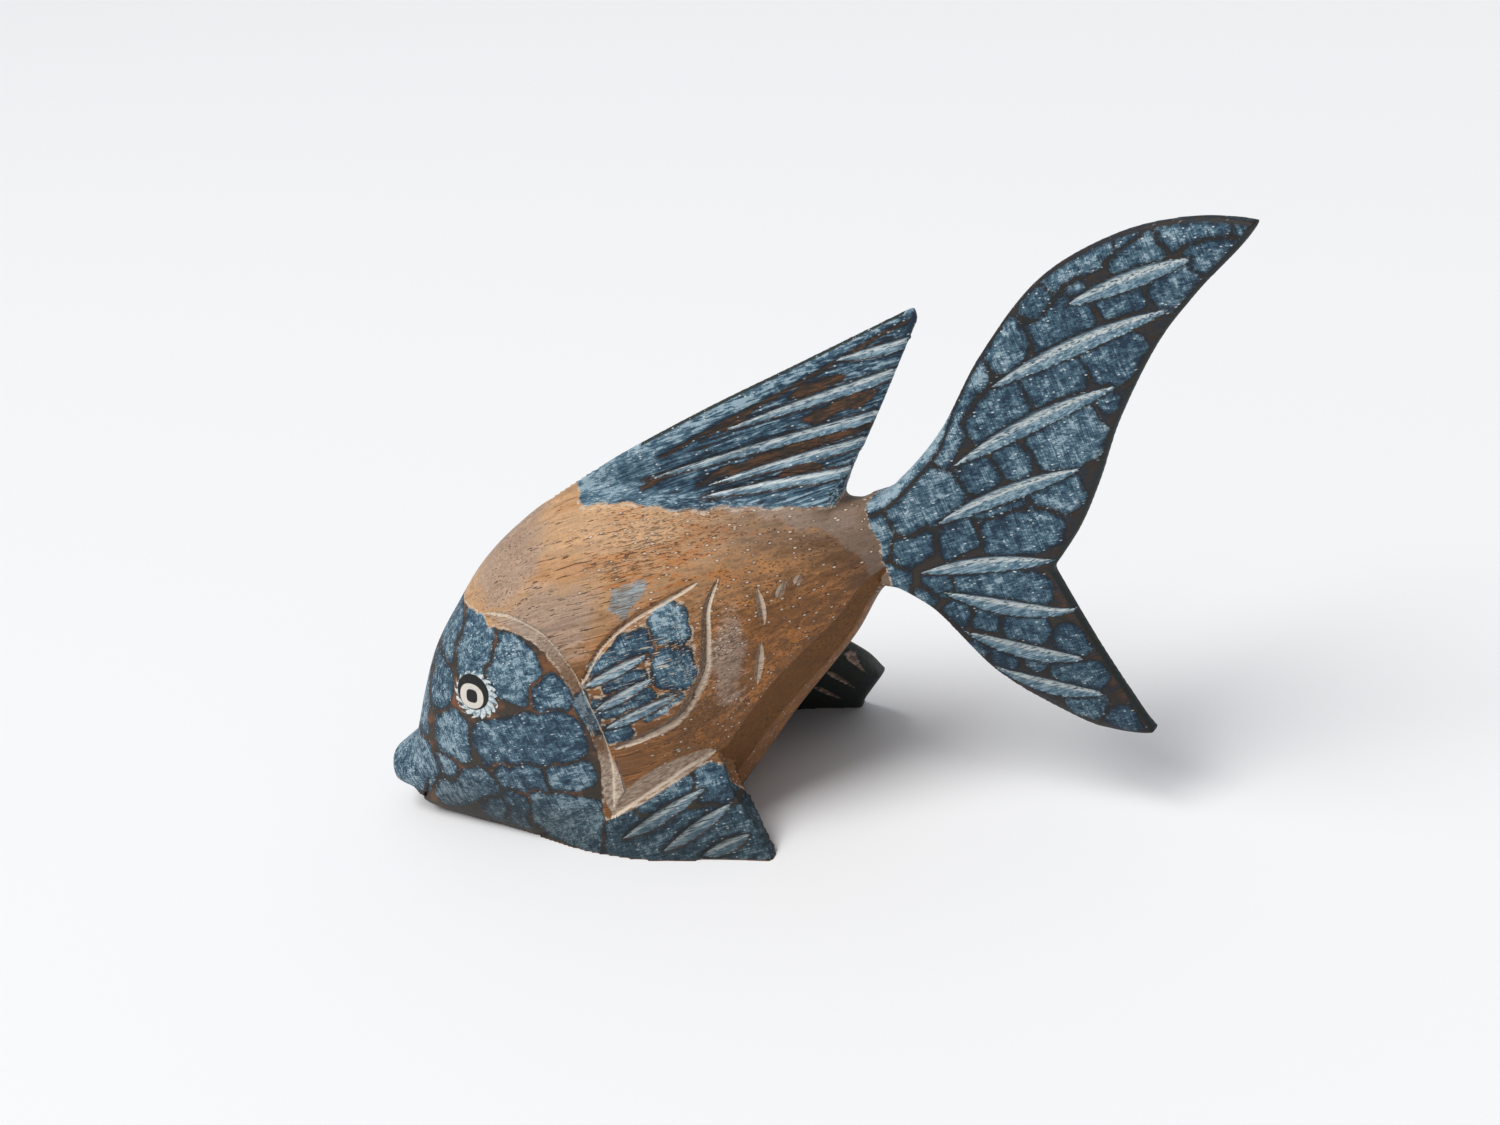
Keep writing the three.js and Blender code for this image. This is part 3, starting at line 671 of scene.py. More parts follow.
def skin_normals(points, quads):
    """Unit normals at the points: the sum of the cross products of their quads' diagonals."""
    a, b, c, d = (points[quads[:, k]] for k in range(4))
    face = np.cross(c - a, d - b)
    normals = np.stack(
        [
            sum(np.bincount(quads[:, k], face[:, axis], len(points)) for k in range(4))
            for axis in range(3)
        ],
        -1,
    )
    return normals / np.maximum(np.linalg.norm(normals, axis=1), 1e-12)[:, None]


def relaxed(points, quads, rounds, pull):
    """Moves every point towards the middle of its neighbours along the quads' edges."""
    a = quads.ravel()
    b = np.roll(quads, -1, axis=1).ravel()
    count = np.bincount(a, minlength=len(points))[:, None]
    for _ in range(rounds):
        total = np.stack([np.bincount(a, points[b, k], len(points)) for k in range(3)], -1)
        points = points + pull * (total / count - points)
    return points


# Knife work on the body


def chamfered(points):
    """Planes the lower rear edge of both flanks, and says how much came off.

    A section reaches (W sin^m + R cos^m)^(1/m) in the chamfer's direction, with m = n / (n - 1),
    and whatever lies past that reach less the depth is moved back onto the plane.
    """
    points = points.copy()
    x, y, z = points.T
    middle, power = widest_height(x), lower_roundness(x)
    dual = power / (power - 1)
    across, down = math.sin(CHAMFER_TURN), math.cos(CHAMFER_TURN)
    reach = (half_width(x) * across) ** dual + ((middle - belly(x)) * down) ** dual
    at = np.abs(y) * across + (middle - z) * down
    past = np.maximum(0, at - reach ** (1 / dual) + chamfer_depth(x))
    past *= (np.abs(y) < body_half(x, z) + 0.6) & (z < middle) & (x < STALK)
    points[:, 1] -= np.sign(y) * past * across
    points[:, 2] += past * down
    return points, past


def faceted(points, normals, depth):
    """Takes flat knife strokes off the flanks and shoulders.

    A stroke is the plane below the skin at its middle, and takes off what lies above it.
    """
    random = np.random.default_rng(FACET_SEED)
    taken = np.zeros(len(points))
    for side in (LEFT, RIGHT):
        for share in FACET_SHARES:
            for start in np.arange(*FACET_RUN):
                x = start + random.uniform(-FACET_JITTER, FACET_JITTER)
                middle = widest_height(x)
                z = middle + (back(x) - middle) * (share + random.uniform(-0.08, 0.08))
                target = np.array([x, side * body_half(x, z), z])
                centre = np.linalg.norm(points - target, axis=1).argmin()
                above = (points - points[centre]) @ normals[centre]
                near = np.linalg.norm(points - points[centre], axis=1) < 14
                deep = depth * random.uniform(0.5, 1.4)
                on_body = np.abs(points[:, 1]) > body_half(points[:, 0], points[:, 2]) - 1
                stroke = np.clip(above + deep, 0, deep) * near * on_body
                taken = np.maximum(taken, stroke)
    return points - normals * taken[:, None]


# Cuts


PLAIN_LOOK = {
    "sides": (LEFT, RIGHT), "fullness": 0.7, "end": 1, "painted": False, "lit": RIGHT_WALL,
    "pale": 0, "lip": FAR, "wash": 0, "dark": 0, "within": FAR,
}


class Cut:
    """One stroke into the flanks: its deepest line, its two walls and how they look.

    left and right are the widths of the walls beside the line: curves over the share of its
    length, or numbers that swell and shrink as the power fullness of a sine, over the part end
    of its half turn. lit is the wall with a pale lip along the line, LEFT_WALL or RIGHT_WALL,
    pale how pale the lip is and lip its width: the lip is partly pale cut wood and partly a
    painted highlight on the wall that faces the light. dark is how much painted shade darkens
    the other wall, and wash how grey both are. A painted cut is a ray of a fin. A point more
    than within outside the skin isn't cut.
    """

    def __init__(self, path, skin, left, right, depth, **look):
        self.path, self.skin, self.left, self.right, self.depth = path, skin, left, right, depth
        for name, value in {**PLAIN_LOOK, **look}.items():
            setattr(self, name, value)
        self.hollow = 1.5 if self.painted else 1.0

    def walls(self, share):
        """Widths of the left and right wall, and the depth, at shares of the line."""
        swell = np.sin(np.pi * self.end * np.clip(share, 0, 1)) ** self.fullness
        left, right = (w(share) if callable(w) else w * swell for w in (self.left, self.right))
        return left, right, self.depth * swell


def ray_cuts(rows, bows, skin, widths, depth, **look):
    """Painted rays of a fin, one for each row."""
    return [
        Cut(bowed_path(row, bow), skin, *widths, depth, painted=True, **look)
        for row, bow in zip(rows, bows)
    ]


def flank_cuts(depth):
    """Every cut on the fish, from the depth of a plain gouge cut."""
    # For each cut, dark is painted shade on the wall that turns from the light, and pale is a lip that is
    # partly a painted highlight; on the mouth line the dark is the painted shadow under the upper lip.
    wood = [
        Cut(
            smooth_path(GILL_LINE, 60), body_half, monotone(GILL_BODY_WALL),
            monotone(GILL_HEAD_WALL), 1.3 * depth, fullness=0.35, lit=LEFT_WALL, pale=1, lip=0.45,
            wash=monotone(GILL_WASH), dark=monotone(GILL_SHADE),
        ),
        Cut(
            smooth_path(SIDE_FIN_TOP, 40), body_half, 0.6, 1.1, 0.9 * depth, fullness=0.4,
            pale=0.8, lip=0.55, dark=0.5,
        ),
        Cut(
            smooth_path(SIDE_FIN_REAR, 50), body_half, 0.9, 1.1, 1.1 * depth, fullness=0.4,
            lit=LEFT_WALL, pale=monotone(SIDE_REAR_PALE), lip=0.6, wash=0.6, dark=0.8,
        ),
        Cut(smooth_path(MOUTH_LINE, 20), body_half, 0.6, 0.7, 0.9 * depth, dark=1),
        Cut(
            smooth_path(FOOT_LINE, 40), flank_half, 3.2, 0.9, 1.2 * depth, fullness=0.4,
            pale=0.9, lip=0.32, wash=0.75, dark=0.1,
        ),
    ]
    wood += [
        Cut(
            bowed_path(row, CUT_BOW), body_half, 0.6, 0.75, 0.55 * depth, lit=LEFT_WALL, pale=0.55,
            wash=0.5, dark=0.4,
        )
        for row in SCALE_CUTS
    ]
    above = UPPER_TAIL_RAYS + 1
    bows = [TAIL_RAY_BOW] * above + [-TAIL_RAY_BOW] * (len(TAIL_RAYS) - above)
    rays = ray_cuts(SIDE_FIN_RAYS, [CUT_BOW] * 3, body_half, (0.6, 1.2), 0.8 * depth)
    rays += ray_cuts(TAIL_RAYS, bows, tail_half, (0.8, 2.0), 0.85 * depth)
    straight = [0] * len(FIN_RAYS)
    rays += ray_cuts(FIN_RAYS, straight, fin_half, (0.6, 1.3), 0.6 * depth, end=0.6, fullness=0.6)
    bows = [CUT_BOW] * len(FOOT_RAYS)
    for side, shape in FOOT_SHAPES.items():
        def outer(x, z, splay=shape["splay"]):
            return foot_outer(x, z, splay)

        rays += ray_cuts(FOOT_RAYS, bows, outer, (0.7, 1.6), 0.85 * depth, sides=(side,))

    def far_inner(x, z):
        splay = FOOT_SHAPES[RIGHT]["splay"]
        return foot_thickness(x, z) - foot_outer(x, z, splay)

    bows = [0] * len(FAR_FIN_RAYS)
    rays += ray_cuts(
        FAR_FIN_RAYS, bows, far_inner, (0.8, 0.8), 0.6 * depth, sides=(LEFT,),
        within=SKIN_TOLERANCE, end=0.55, fullness=1,
    )
    return wood + rays


def carve(points, normals, cuts, step):
    """Sinks the cuts into the skin, and returns the new points and what the paint needs.

    Points near a cut's deepest line are first moved onto it, along the skin, so that the mesh
    follows the cut. A wall is depth * (1 - (distance / width)^hollow) deep, and a blade keeps
    most of its thickness and its outline. A point's cut is how far it is across the nearest cut, from -1 at the
    rim of the darker wall to 1 at that of the paler or upper one.
    """
    points = points.copy()
    sunk = np.zeros(len(points))
    inwards = -normals
    moved = np.zeros(len(points), bool)
    looks = ("deep", "own", "pale", "lip", "wash", "dark")
    fields = {name: np.zeros(len(points)) for name in looks}
    fields["cut"] = np.full(len(points), FAR)
    fields["ray"] = np.full(len(points), -FAR)
    for cut in cuts:
        low, high = cut.path.min(0) - CUT_MARGIN, cut.path.max(0) + CUT_MARGIN
        for side in cut.sides:
            x, y, z = points.T
            outside = side * y - cut.skin(x, z)
            near = (x > low[0]) & (x < high[0]) & (z > low[1]) & (z < high[1])
            near &= (side * normals[:, 1] > 0.12) & (outside > -SKIN_TOLERANCE)
            chosen = np.flatnonzero(near & (outside < cut.within))
            share, offset, left = beside(points[chosen][:, [0, 2]], cut.path)
            wide_left, wide_right, depth = cut.walls(share)
            depth = np.minimum(depth, BLADE_SHARE * np.abs(cut.skin(x[chosen], z[chosen])))
            snap = (np.abs(offset) < SNAP_SHARE * step) & ~moved[chosen] & (depth > 0.2)
            push = -left * np.where(snap, offset, 0)[:, None]
            offset = np.where(snap, 0, offset)
            moved[chosen] |= snap
            slope = normals[chosen]
            points[chosen, 0] += push[:, 0]
            points[chosen, 2] += push[:, 1]
            points[chosen, 1] -= (slope[:, 0] * push[:, 0] + slope[:, 2] * push[:, 1]) / slope[:, 1]
            width = np.maximum(np.where(offset >= 0, wide_left, wide_right), 0.05)
            ratio = np.abs(offset) / width
            own = depth * (1 - np.clip(ratio, 0, 1) ** cut.hollow)
            sunk[chosen] = np.maximum(sunk[chosen], own)
            if cut.painted:
                ray = np.maximum(fields["ray"][chosen], width - np.abs(offset))
                fields["ray"][chosen] = ray
                inwards[chosen] *= (0, 1, 0)
            nearest = ratio < np.abs(fields["cut"][chosen])
            at = chosen[nearest]
            fields["cut"][at] = (np.sign(offset) * cut.lit * ratio)[nearest]
            fields["own"][at] = own[nearest]
            lit_width = np.maximum(wide_left if cut.lit == LEFT_WALL else wide_right, 0.05)
            look = {"deep": depth, "lip": cut.lip / lit_width}
            for name in ("pale", "wash", "dark"):
                value = getattr(cut, name)
                look[name] = value(share) if callable(value) else value
            for name, value in look.items():
                fields[name][at] = (value * (ratio < WALL_REACH))[nearest]
    return points + inwards * sunk[:, None], fields


# Paint


def offset_gill():
    """The gill line moved towards the head by the width of its unpainted band."""
    path = smooth_path(GILL_LINE, 24)
    run = np.gradient(path, axis=0)
    ahead = run / np.linalg.norm(run, axis=1)[:, None]
    return path + GILL_BAND * np.stack([ahead[:, 1], -ahead[:, 0]], -1)


def patch_field(places, rows, grow):
    """Distance inside the nearest patch, with gaps where two meet, and each place's patch number.

    With the two deepest distances a and b, it is the smaller of a and (a - b) / 2 less half a gap.
    """
    best = np.full(len(places), -FAR)
    second = np.full(len(places), -FAR)
    owner = np.zeros(len(places), int)
    for number, row in enumerate(rows):
        depth = patch_distance(places, row, grow)
        first = depth > best
        second = np.where(first, best, np.maximum(second, depth))
        owner = np.where(first, number, owner)
        best = np.maximum(best, depth)
    return np.minimum(best, (best - second - PATCH_GAP) / 2), owner


def lens_distance(places, row):
    """Distance inside a streak with pointed ends: half its width as the root of a sine."""
    share, offset, _ = beside(places, np.array([row[:2], row[2:4]], float))
    return row[4] / 2 * np.sqrt(np.sin(np.pi * share)) - np.abs(offset)


def feet_field(points, plain):
    """Distance inside the painted belly fins: their outline from the side, near their outer face."""
    feet = np.full(len(points), -FAR)
    x, y, z = points.T
    inward = FOOT_ZONE_INWARD + FOOT_ZONE_LOW_INWARD * (1 - smoothstep(z, *FOOT_ZONE_LOW))
    for side, shape in FOOT_SHAPES.items():
        upper = smooth_path(FOOT_TOP, 16) - [0, FOOT_ZONE_MARGIN]
        corner = [np.add(shape[name], shift) for name, shift in FOOT_ZONE_SHIFTS.items()]
        behind = smooth_path([upper[-1], *corner], 24)[1:]
        outline = [(upper[0][0], -4), *upper, *behind, (behind[-1][0], -4)]
        depth = side * y - foot_outer(x, z, shape["splay"]) + inward
        feet = np.maximum(feet, np.minimum(outline_distance(plain, outline), depth))
    return feet


def edge_band(plain):
    """Distance inside the blue bands along the front edges of the back fin and the tail."""
    fin = monotone(FIN_BAND)(plain[:, 0]) - np.abs(beside(plain, smooth_path(FIN_FRONT, 24))[1])
    width = TAIL_BAND * (1 - smoothstep(plain[:, 0], *TAIL_BAND_END))
    return np.maximum(fin, width - np.abs(beside(plain, smooth_path(TAIL_UPPER_FRONT, 40))[1]))


def inner_faces(points, normals):
    """1 on the inner faces of the belly fins, 0 elsewhere."""
    x, y, z = points.T
    inner = np.zeros(len(points))
    for side, shape in FOOT_SHAPES.items():
        past = foot_outer(x, z, shape["splay"]) - foot_thickness(x, z) - FOOT_INNER["past"]
        turned = np.clip((FOOT_INNER_FACING[side] - side * normals[:, 1]) / 0.3, 0, 1)
        inner = np.maximum(inner, turned * (side * y > past))
    return inner * (z < FOOT_INNER["height"]) * (x > FOOT_INNER["front"])


def paint_fields(points, normals, rays):
    """What the paint is made from, at each point: distances in millimetres, positive inside.

    zone is painted skin, patch a patch of blue on it, bare a streak without paint, tint a shade
    for each patch, and border the distance from the tail's rear edge.
    """
    plain = points[:, [0, 2]]
    left = points[:, 1] < 0
    places = np.where(left[:, None], wobble(plain, 7, 0.5, 3), wobble(plain, 6, 1.0, 8))
    places = wobble(places, 2.2, 0.16, 5)
    zone = outline_distance(wobble(plain, 3, 0.2, 4), [*HEAD_TOP, *offset_gill(), *HEAD_BOTTOM])
    zone = np.maximum(zone, outline_distance(places, TAIL_ZONE))
    fin = outline_distance(wobble(plain, 9, 0.35, 6), FIN_ZONE)
    zone = np.maximum(np.maximum(zone, fin), feet_field(points, plain))
    rows = [*HEAD_PATCHES, *TAIL_PATCHES, *TAIL_ROOT_PATCHES, *FOOT_PATCHES]
    patch, owner = patch_field(places, rows, PATCH_GROWTH)
    bare = np.full(len(points), -FAR)
    for row in FIN_BARE:
        bare = np.maximum(bare, lens_distance(places, row))
    patch = np.maximum(patch, np.minimum(outline_distance(plain, FIN_ZONE) + 2, -bare))
    side_fin, side_owner = patch_field(places, SIDE_FIN_PATCHES, SIDE_PATCH_GROWTH)
    side_zone = outline_distance(places, SIDE_FIN_ZONE)
    side_zone = np.minimum(side_zone, np.maximum(side_fin + 0.3, rays + 0.35))
    owner = np.where(side_fin > patch, side_owner + len(rows), owner)
    border = np.full(len(points), FAR)
    tail = plain[:, 0] > 60
    rear = join_runs(smooth_path(TAIL_UPPER_REAR, 60), smooth_path(TAIL_LOWER_REAR, 30))
    border[tail] = np.abs(beside(plain[tail], rear)[1])
    crest = (plain[:, 0] > 4) & (plain[:, 0] < 54) & (plain[:, 1] > 62)
    edge = np.abs(beside(plain[crest], smooth_path(FIN_FRONT, 24))[1]) + CREST_LINE
    border[crest] = np.minimum(border[crest], edge)
    shades = np.random.default_rng(11).uniform(-1, 1, len(rows) + len(SIDE_FIN_PATCHES))
    return {
        "zone": np.maximum(zone, side_zone),
        "patch": np.maximum(patch, side_fin),
        "bare": bare,
        "fin": outline_distance(plain, FIN_ZONE),
        "band": edge_band(plain),
        "facet": outline_distance(wobble(plain, 8, 0.8, 2), UPPER_FACET),
        "stain": np.where(left, outline_distance(wobble(plain, 2.5, 0.5, 9), STAIN), -FAR),
        "tint": shades[owner],
        "border": border,
        "inner": inner_faces(points, normals),
    }


# Materials


class Shade:
    """A node's output that takes part in Python expressions, and makes the nodes they need."""

    def __init__(self, tree, socket=None):
        self.tree, self.socket = tree, socket

    def node(self, kind, settings, sockets, out=0):
        """A new node: its settings come first, then its sockets' values and links."""
        made = self.tree.nodes.new(kind)
        for name, value in settings.items():
            setattr(made, name, value)
        for key, value in sockets.items():
            if isinstance(value, Shade):
                self.tree.links.new(value.socket, made.inputs[key])
            else:
                made.inputs[key].default_value = value
        return Shade(self.tree, made.outputs[out])

    def maths(self, operation, *others):
        """A Math node on this value and others."""
        values = dict(enumerate((self, *others)))
        return self.node("ShaderNodeMath", {"operation": operation}, values)

    def __add__(self, other):
        return self.maths("ADD", other)

    def __sub__(self, other):
        return self.maths("SUBTRACT", other)

    def __rsub__(self, other):
        return self.node("ShaderNodeMath", {"operation": "SUBTRACT"}, {0: other, 1: self})

    def __mul__(self, other):
        return self.maths("MULTIPLY", other)

    __radd__ = __add__
    __rmul__ = __mul__


def rise(value, low, high):
    """0 at low and 1 at high, smoothly; low may be the larger."""
    return value.node(
        "ShaderNodeMapRange", {"interpolation_type": "SMOOTHSTEP"}, {0: value, 1: low, 2: high}
    )


def mix(share, first, second):
    """The first colour where share is 0, the second where it is 1."""
    return share.node("ShaderNodeMix", {"data_type": "RGBA"}, {0: share, 6: first, 7: second}, 2)


def mix_value(share, first, second):
    """The first number where share is 0, the second where it is 1."""
    return share.node("ShaderNodeMix", {"data_type": "FLOAT"}, {0: share, 2: first, 3: second})


def dyed(colour, strength):
    """A colour made darker or paler by a factor."""
    return strength.node(
        "ShaderNodeVectorMath", {"operation": "SCALE"}, {0: colour, 3: strength}
    )


def stretched(place, along, across, turn=0.0, through=None):
    """Coordinates in steps of one size along a line that rises by turn, and another across it.

    Steps through the fish are as those across the line, unless through says otherwise.
    """
    scale = (along * MM, (through or across) * MM, across * MM)
    settings = {"vector_type": "TEXTURE"}
    return place.node("ShaderNodeMapping", settings, {0: place, 2: (0, -turn, 0), 3: scale})


def noise(place, detail=3.0, roughness=0.55, distortion=0.0):
    """Noise from 0 to 1 with features about one step wide."""
    sockets = {"Vector": place, "Scale": 0.8, "Detail": detail, "Roughness": roughness}
    return place.node("ShaderNodeTexNoise", {}, {**sockets, "Distortion": distortion})


def dots(place, size, share):
    """Round dots, one step apart at most: their radius in steps, and the share of them."""
    cells = {"Vector": place, "Scale": 1.0}
    near = place.node("ShaderNodeTexVoronoi", {}, cells)
    random = place.node("ShaderNodeTexVoronoi", {}, cells, 1)
    kept = random.node("ShaderNodeSeparateColor", {}, {0: random})
    return rise(near, size, size * 0.6) * rise(kept, share + 0.02, share - 0.02)


def blob(straight, centre, radii, turn=0.0):
    """1 in the middle of a soft spot on both flanks, 0 outside: centre and radii in (x, z)."""
    sockets = {
        0: straight, 1: (centre[0], 0, centre[1]), 2: (0, -turn, 0), 3: (radii[0], 1e5, radii[1]),
    }
    at = straight.node("ShaderNodeMapping", {"vector_type": "TEXTURE"}, sockets)
    return rise(at.node("ShaderNodeVectorMath", {"operation": "LENGTH"}, {0: at}, 1), 1.5, 0.1)


GRAIN_TURN = math.radians(11.6)
STROKE_TURN = math.radians(14)
GREY_SPOTS = [
    ((-14, 41), (14, 9), 0.4), ((18.4, 33), (3.6, 10), -0.25), ((-22, 50), (13, 8), 0.6),
]
DASH_SPOTS = [
    ((18.6, 36), (5, 3.4), -0.1), ((10.5, 23.6), (7, 2.6), 0.4), ((5, 52), (11, 3.4), 0.35),
]
WARM_SPOTS = [
    ((20, 39), (8, 5), 0.2), ((10, 49), (16, 5), 0.1), ((24, 30), (6, 10), -0.5),
    ((4, 34), (11, 9), 0.3),
]


def spots(straight, rows):
    """The strongest of several soft spots."""
    first, *others = (blob(straight, *row) for row in rows)
    for other in others:
        first = first.maths("MAXIMUM", other)
    return first


def wood(place, straight, x, z, read, colours):
    """Bare waxed wood: its colour, and its relief in millimetres."""
    figure = noise(stretched(place, 26, 3.2, GRAIN_TURN), 5, 0.62, 0.8)
    streak = noise(stretched(place, 15, 0.8, GRAIN_TURN), 4, 0.65, 0.3)
    fibre = noise(stretched(place, 5, 0.2, GRAIN_TURN), 3, 0.6)
    cloud = noise(stretched(place, 9, 5, GRAIN_TURN), 4, 0.7)
    ripple = noise(stretched(place, 0.26, 0.6, GRAIN_TURN), 3, 0.7)
    # Tan on the back turning to brown low on the flank and towards the tail: partly the wood's own tone, partly
    # painted shade where the light falls off.
    low = rise(z + x * -0.32 + (figure - 0.5) * 34 + (streak - 0.5) * 20, 52, 30)
    colour = mix(low, colours.tan, colours.brown)
    warm = rise(figure + (streak - 0.5) * 0.7, 0.46, 0.66) * 0.6
    warm = warm + spots(straight, WARM_SPOTS) * rise(streak, 0.36, 0.6) * 0.6
    colour = mix(warm, colour, colours.orange)
    grey = rise(spots(straight, GREY_SPOTS) + (cloud - 0.5) * 1.3 + (streak - 0.5) * 0.9, 0.4, 0.85)
    colour = mix(grey * 0.75, colour, colours.grey)
    facet = rise(read("facet") + (fibre - 0.5) * 0.8, -0.15, 0.5)
    colour = mix(facet * 0.85, colour, mix(rise(x, 20, 38), colours.grey, colours.ash))
    # Umber over the rear flank below the top facet: partly the wood's own darker tone, partly painted shade.
    under = rise(read("facet") + (streak - 0.5) * 5, -6, -1.5) * rise(x, 8, 24) * (1 - facet)
    colour = mix(under * 0.42, colour, colours.umber)
    planed = rise(read("chamfer") + (streak - 0.5) * 0.12, 0.02, 0.12)
    colour = mix(planed, colour, colours.chamfer)
    shine = fibre * 0.6 + streak * (1 - facet * 0.5) * 1.5 + ripple * 0.65 + facet * 0.24 - 0.56
    shine = shine + cloud * 0.4
    colour = dyed(colour, shine)
    vessels = rise(noise(stretched(place, 12, 0.19, GRAIN_TURN), 2, 0.45, 0.1), 0.61, 0.65)
    vessels = vessels * rise(streak + (figure - 0.5) * 0.8, 0.46, 0.58)
    dashes = rise(noise(stretched(place, 3.6, 0.17, GRAIN_TURN), 1, 0.5), 0.65, 0.7)
    dashes = dashes * rise(cloud + (streak - 0.5) * 1.2, 0.46, 0.6)
    strokes = rise(noise(stretched(place, 6, 0.16, GRAIN_TURN), 2, 0.5), 0.55, 0.62)
    dashes = dashes.maths("MAXIMUM", strokes * spots(straight, DASH_SPOTS) * 0.8)
    dashes = dashes.maths("MAXIMUM", vessels) * (1 - facet * 0.8)
    colour = mix(dashes * 0.85, colour, colours.vessel_and_shade)
    chips = rise(noise(stretched(place, 3.0, 0.24, GRAIN_TURN), 2, 0.5), 0.58, 0.66)
    chips = chips * blob(straight, (17.5, 33), (4, 10), -0.2) * rise(cloud, 0.4, 0.55)
    colour = mix(chips * 0.7, colour, colours.pale_wood_and_glint)
    grid = stretched(place, 1.8, 0.8, GRAIN_TURN)
    rear = rise(x + z * 0.3 + (cloud - 0.5) * 60, -4, 18) * (1 - planed)
    pored = rear * rise(streak + (cloud - 0.5) * 0.6, 0.3, 0.5)
    # Each pore is a larger dark dot, a painted shadow, with a smaller pale dot on it, a painted glint.
    pores = dots(grid, 0.22, 0.76) * pored
    colour = mix(dots(grid, 0.38, 0.76) * pored * 0.55, colour, colours.vessel_and_shade)
    colour = mix(pores * 0.8, colour, colours.pale_wood_and_glint)
    stain = rise(read("stain") + (fibre - 0.5) * 1.8, -0.3, 0.6)
    colour = mix(stain * 0.75, colour, mix(rise(fibre, 0.3, 0.7), colours.moss, colours.sky))
    height = (fibre - 0.5) * 0.07 + (streak - 0.5) * 0.1 + dashes * -0.11 + pores * 0.05
    return colour, height


def washed(colour, grit, read, colours):
    """Grey walls of the cuts into bare wood."""
    across = read("cut")
    inside = rise(across.maths("ABSOLUTE"), 1.1, 0.9)
    shaved = mix(rise(grit, 0.3, 0.7), colours.grey, colours.pale_wood_and_glint)
    return mix(read("wash") * inside * 0.85, colour, dyed(shaved, grit * 0.7 + 0.52))


def lipped(colour, grit, read, colours):
    """Painted shade on the dark sides of those cuts, and pale lips along their deepest lines, partly painted
    highlights.
    """
    across = read("cut")
    inside = rise(across.maths("ABSOLUTE"), 1.1, 0.9)
    # Painted shade: the wall that turns from the light is darkened.
    wall_shade = read("dark") * inside * rise(across, 0.0, -0.22)
    colour = mix(wall_shade * 0.8, colour, colours.vessel_and_shade)
    # The pale lip along the deepest line is partly pale cut wood and partly a painted highlight.
    lip = rise(across - read("lip"), 0.12, -0.12) * rise(across, -0.09, 0.02)
    return mix(read("pale") * inside * lip * rise(grit, 0.24, 0.5), colour, colours.pale_wood_and_glint)


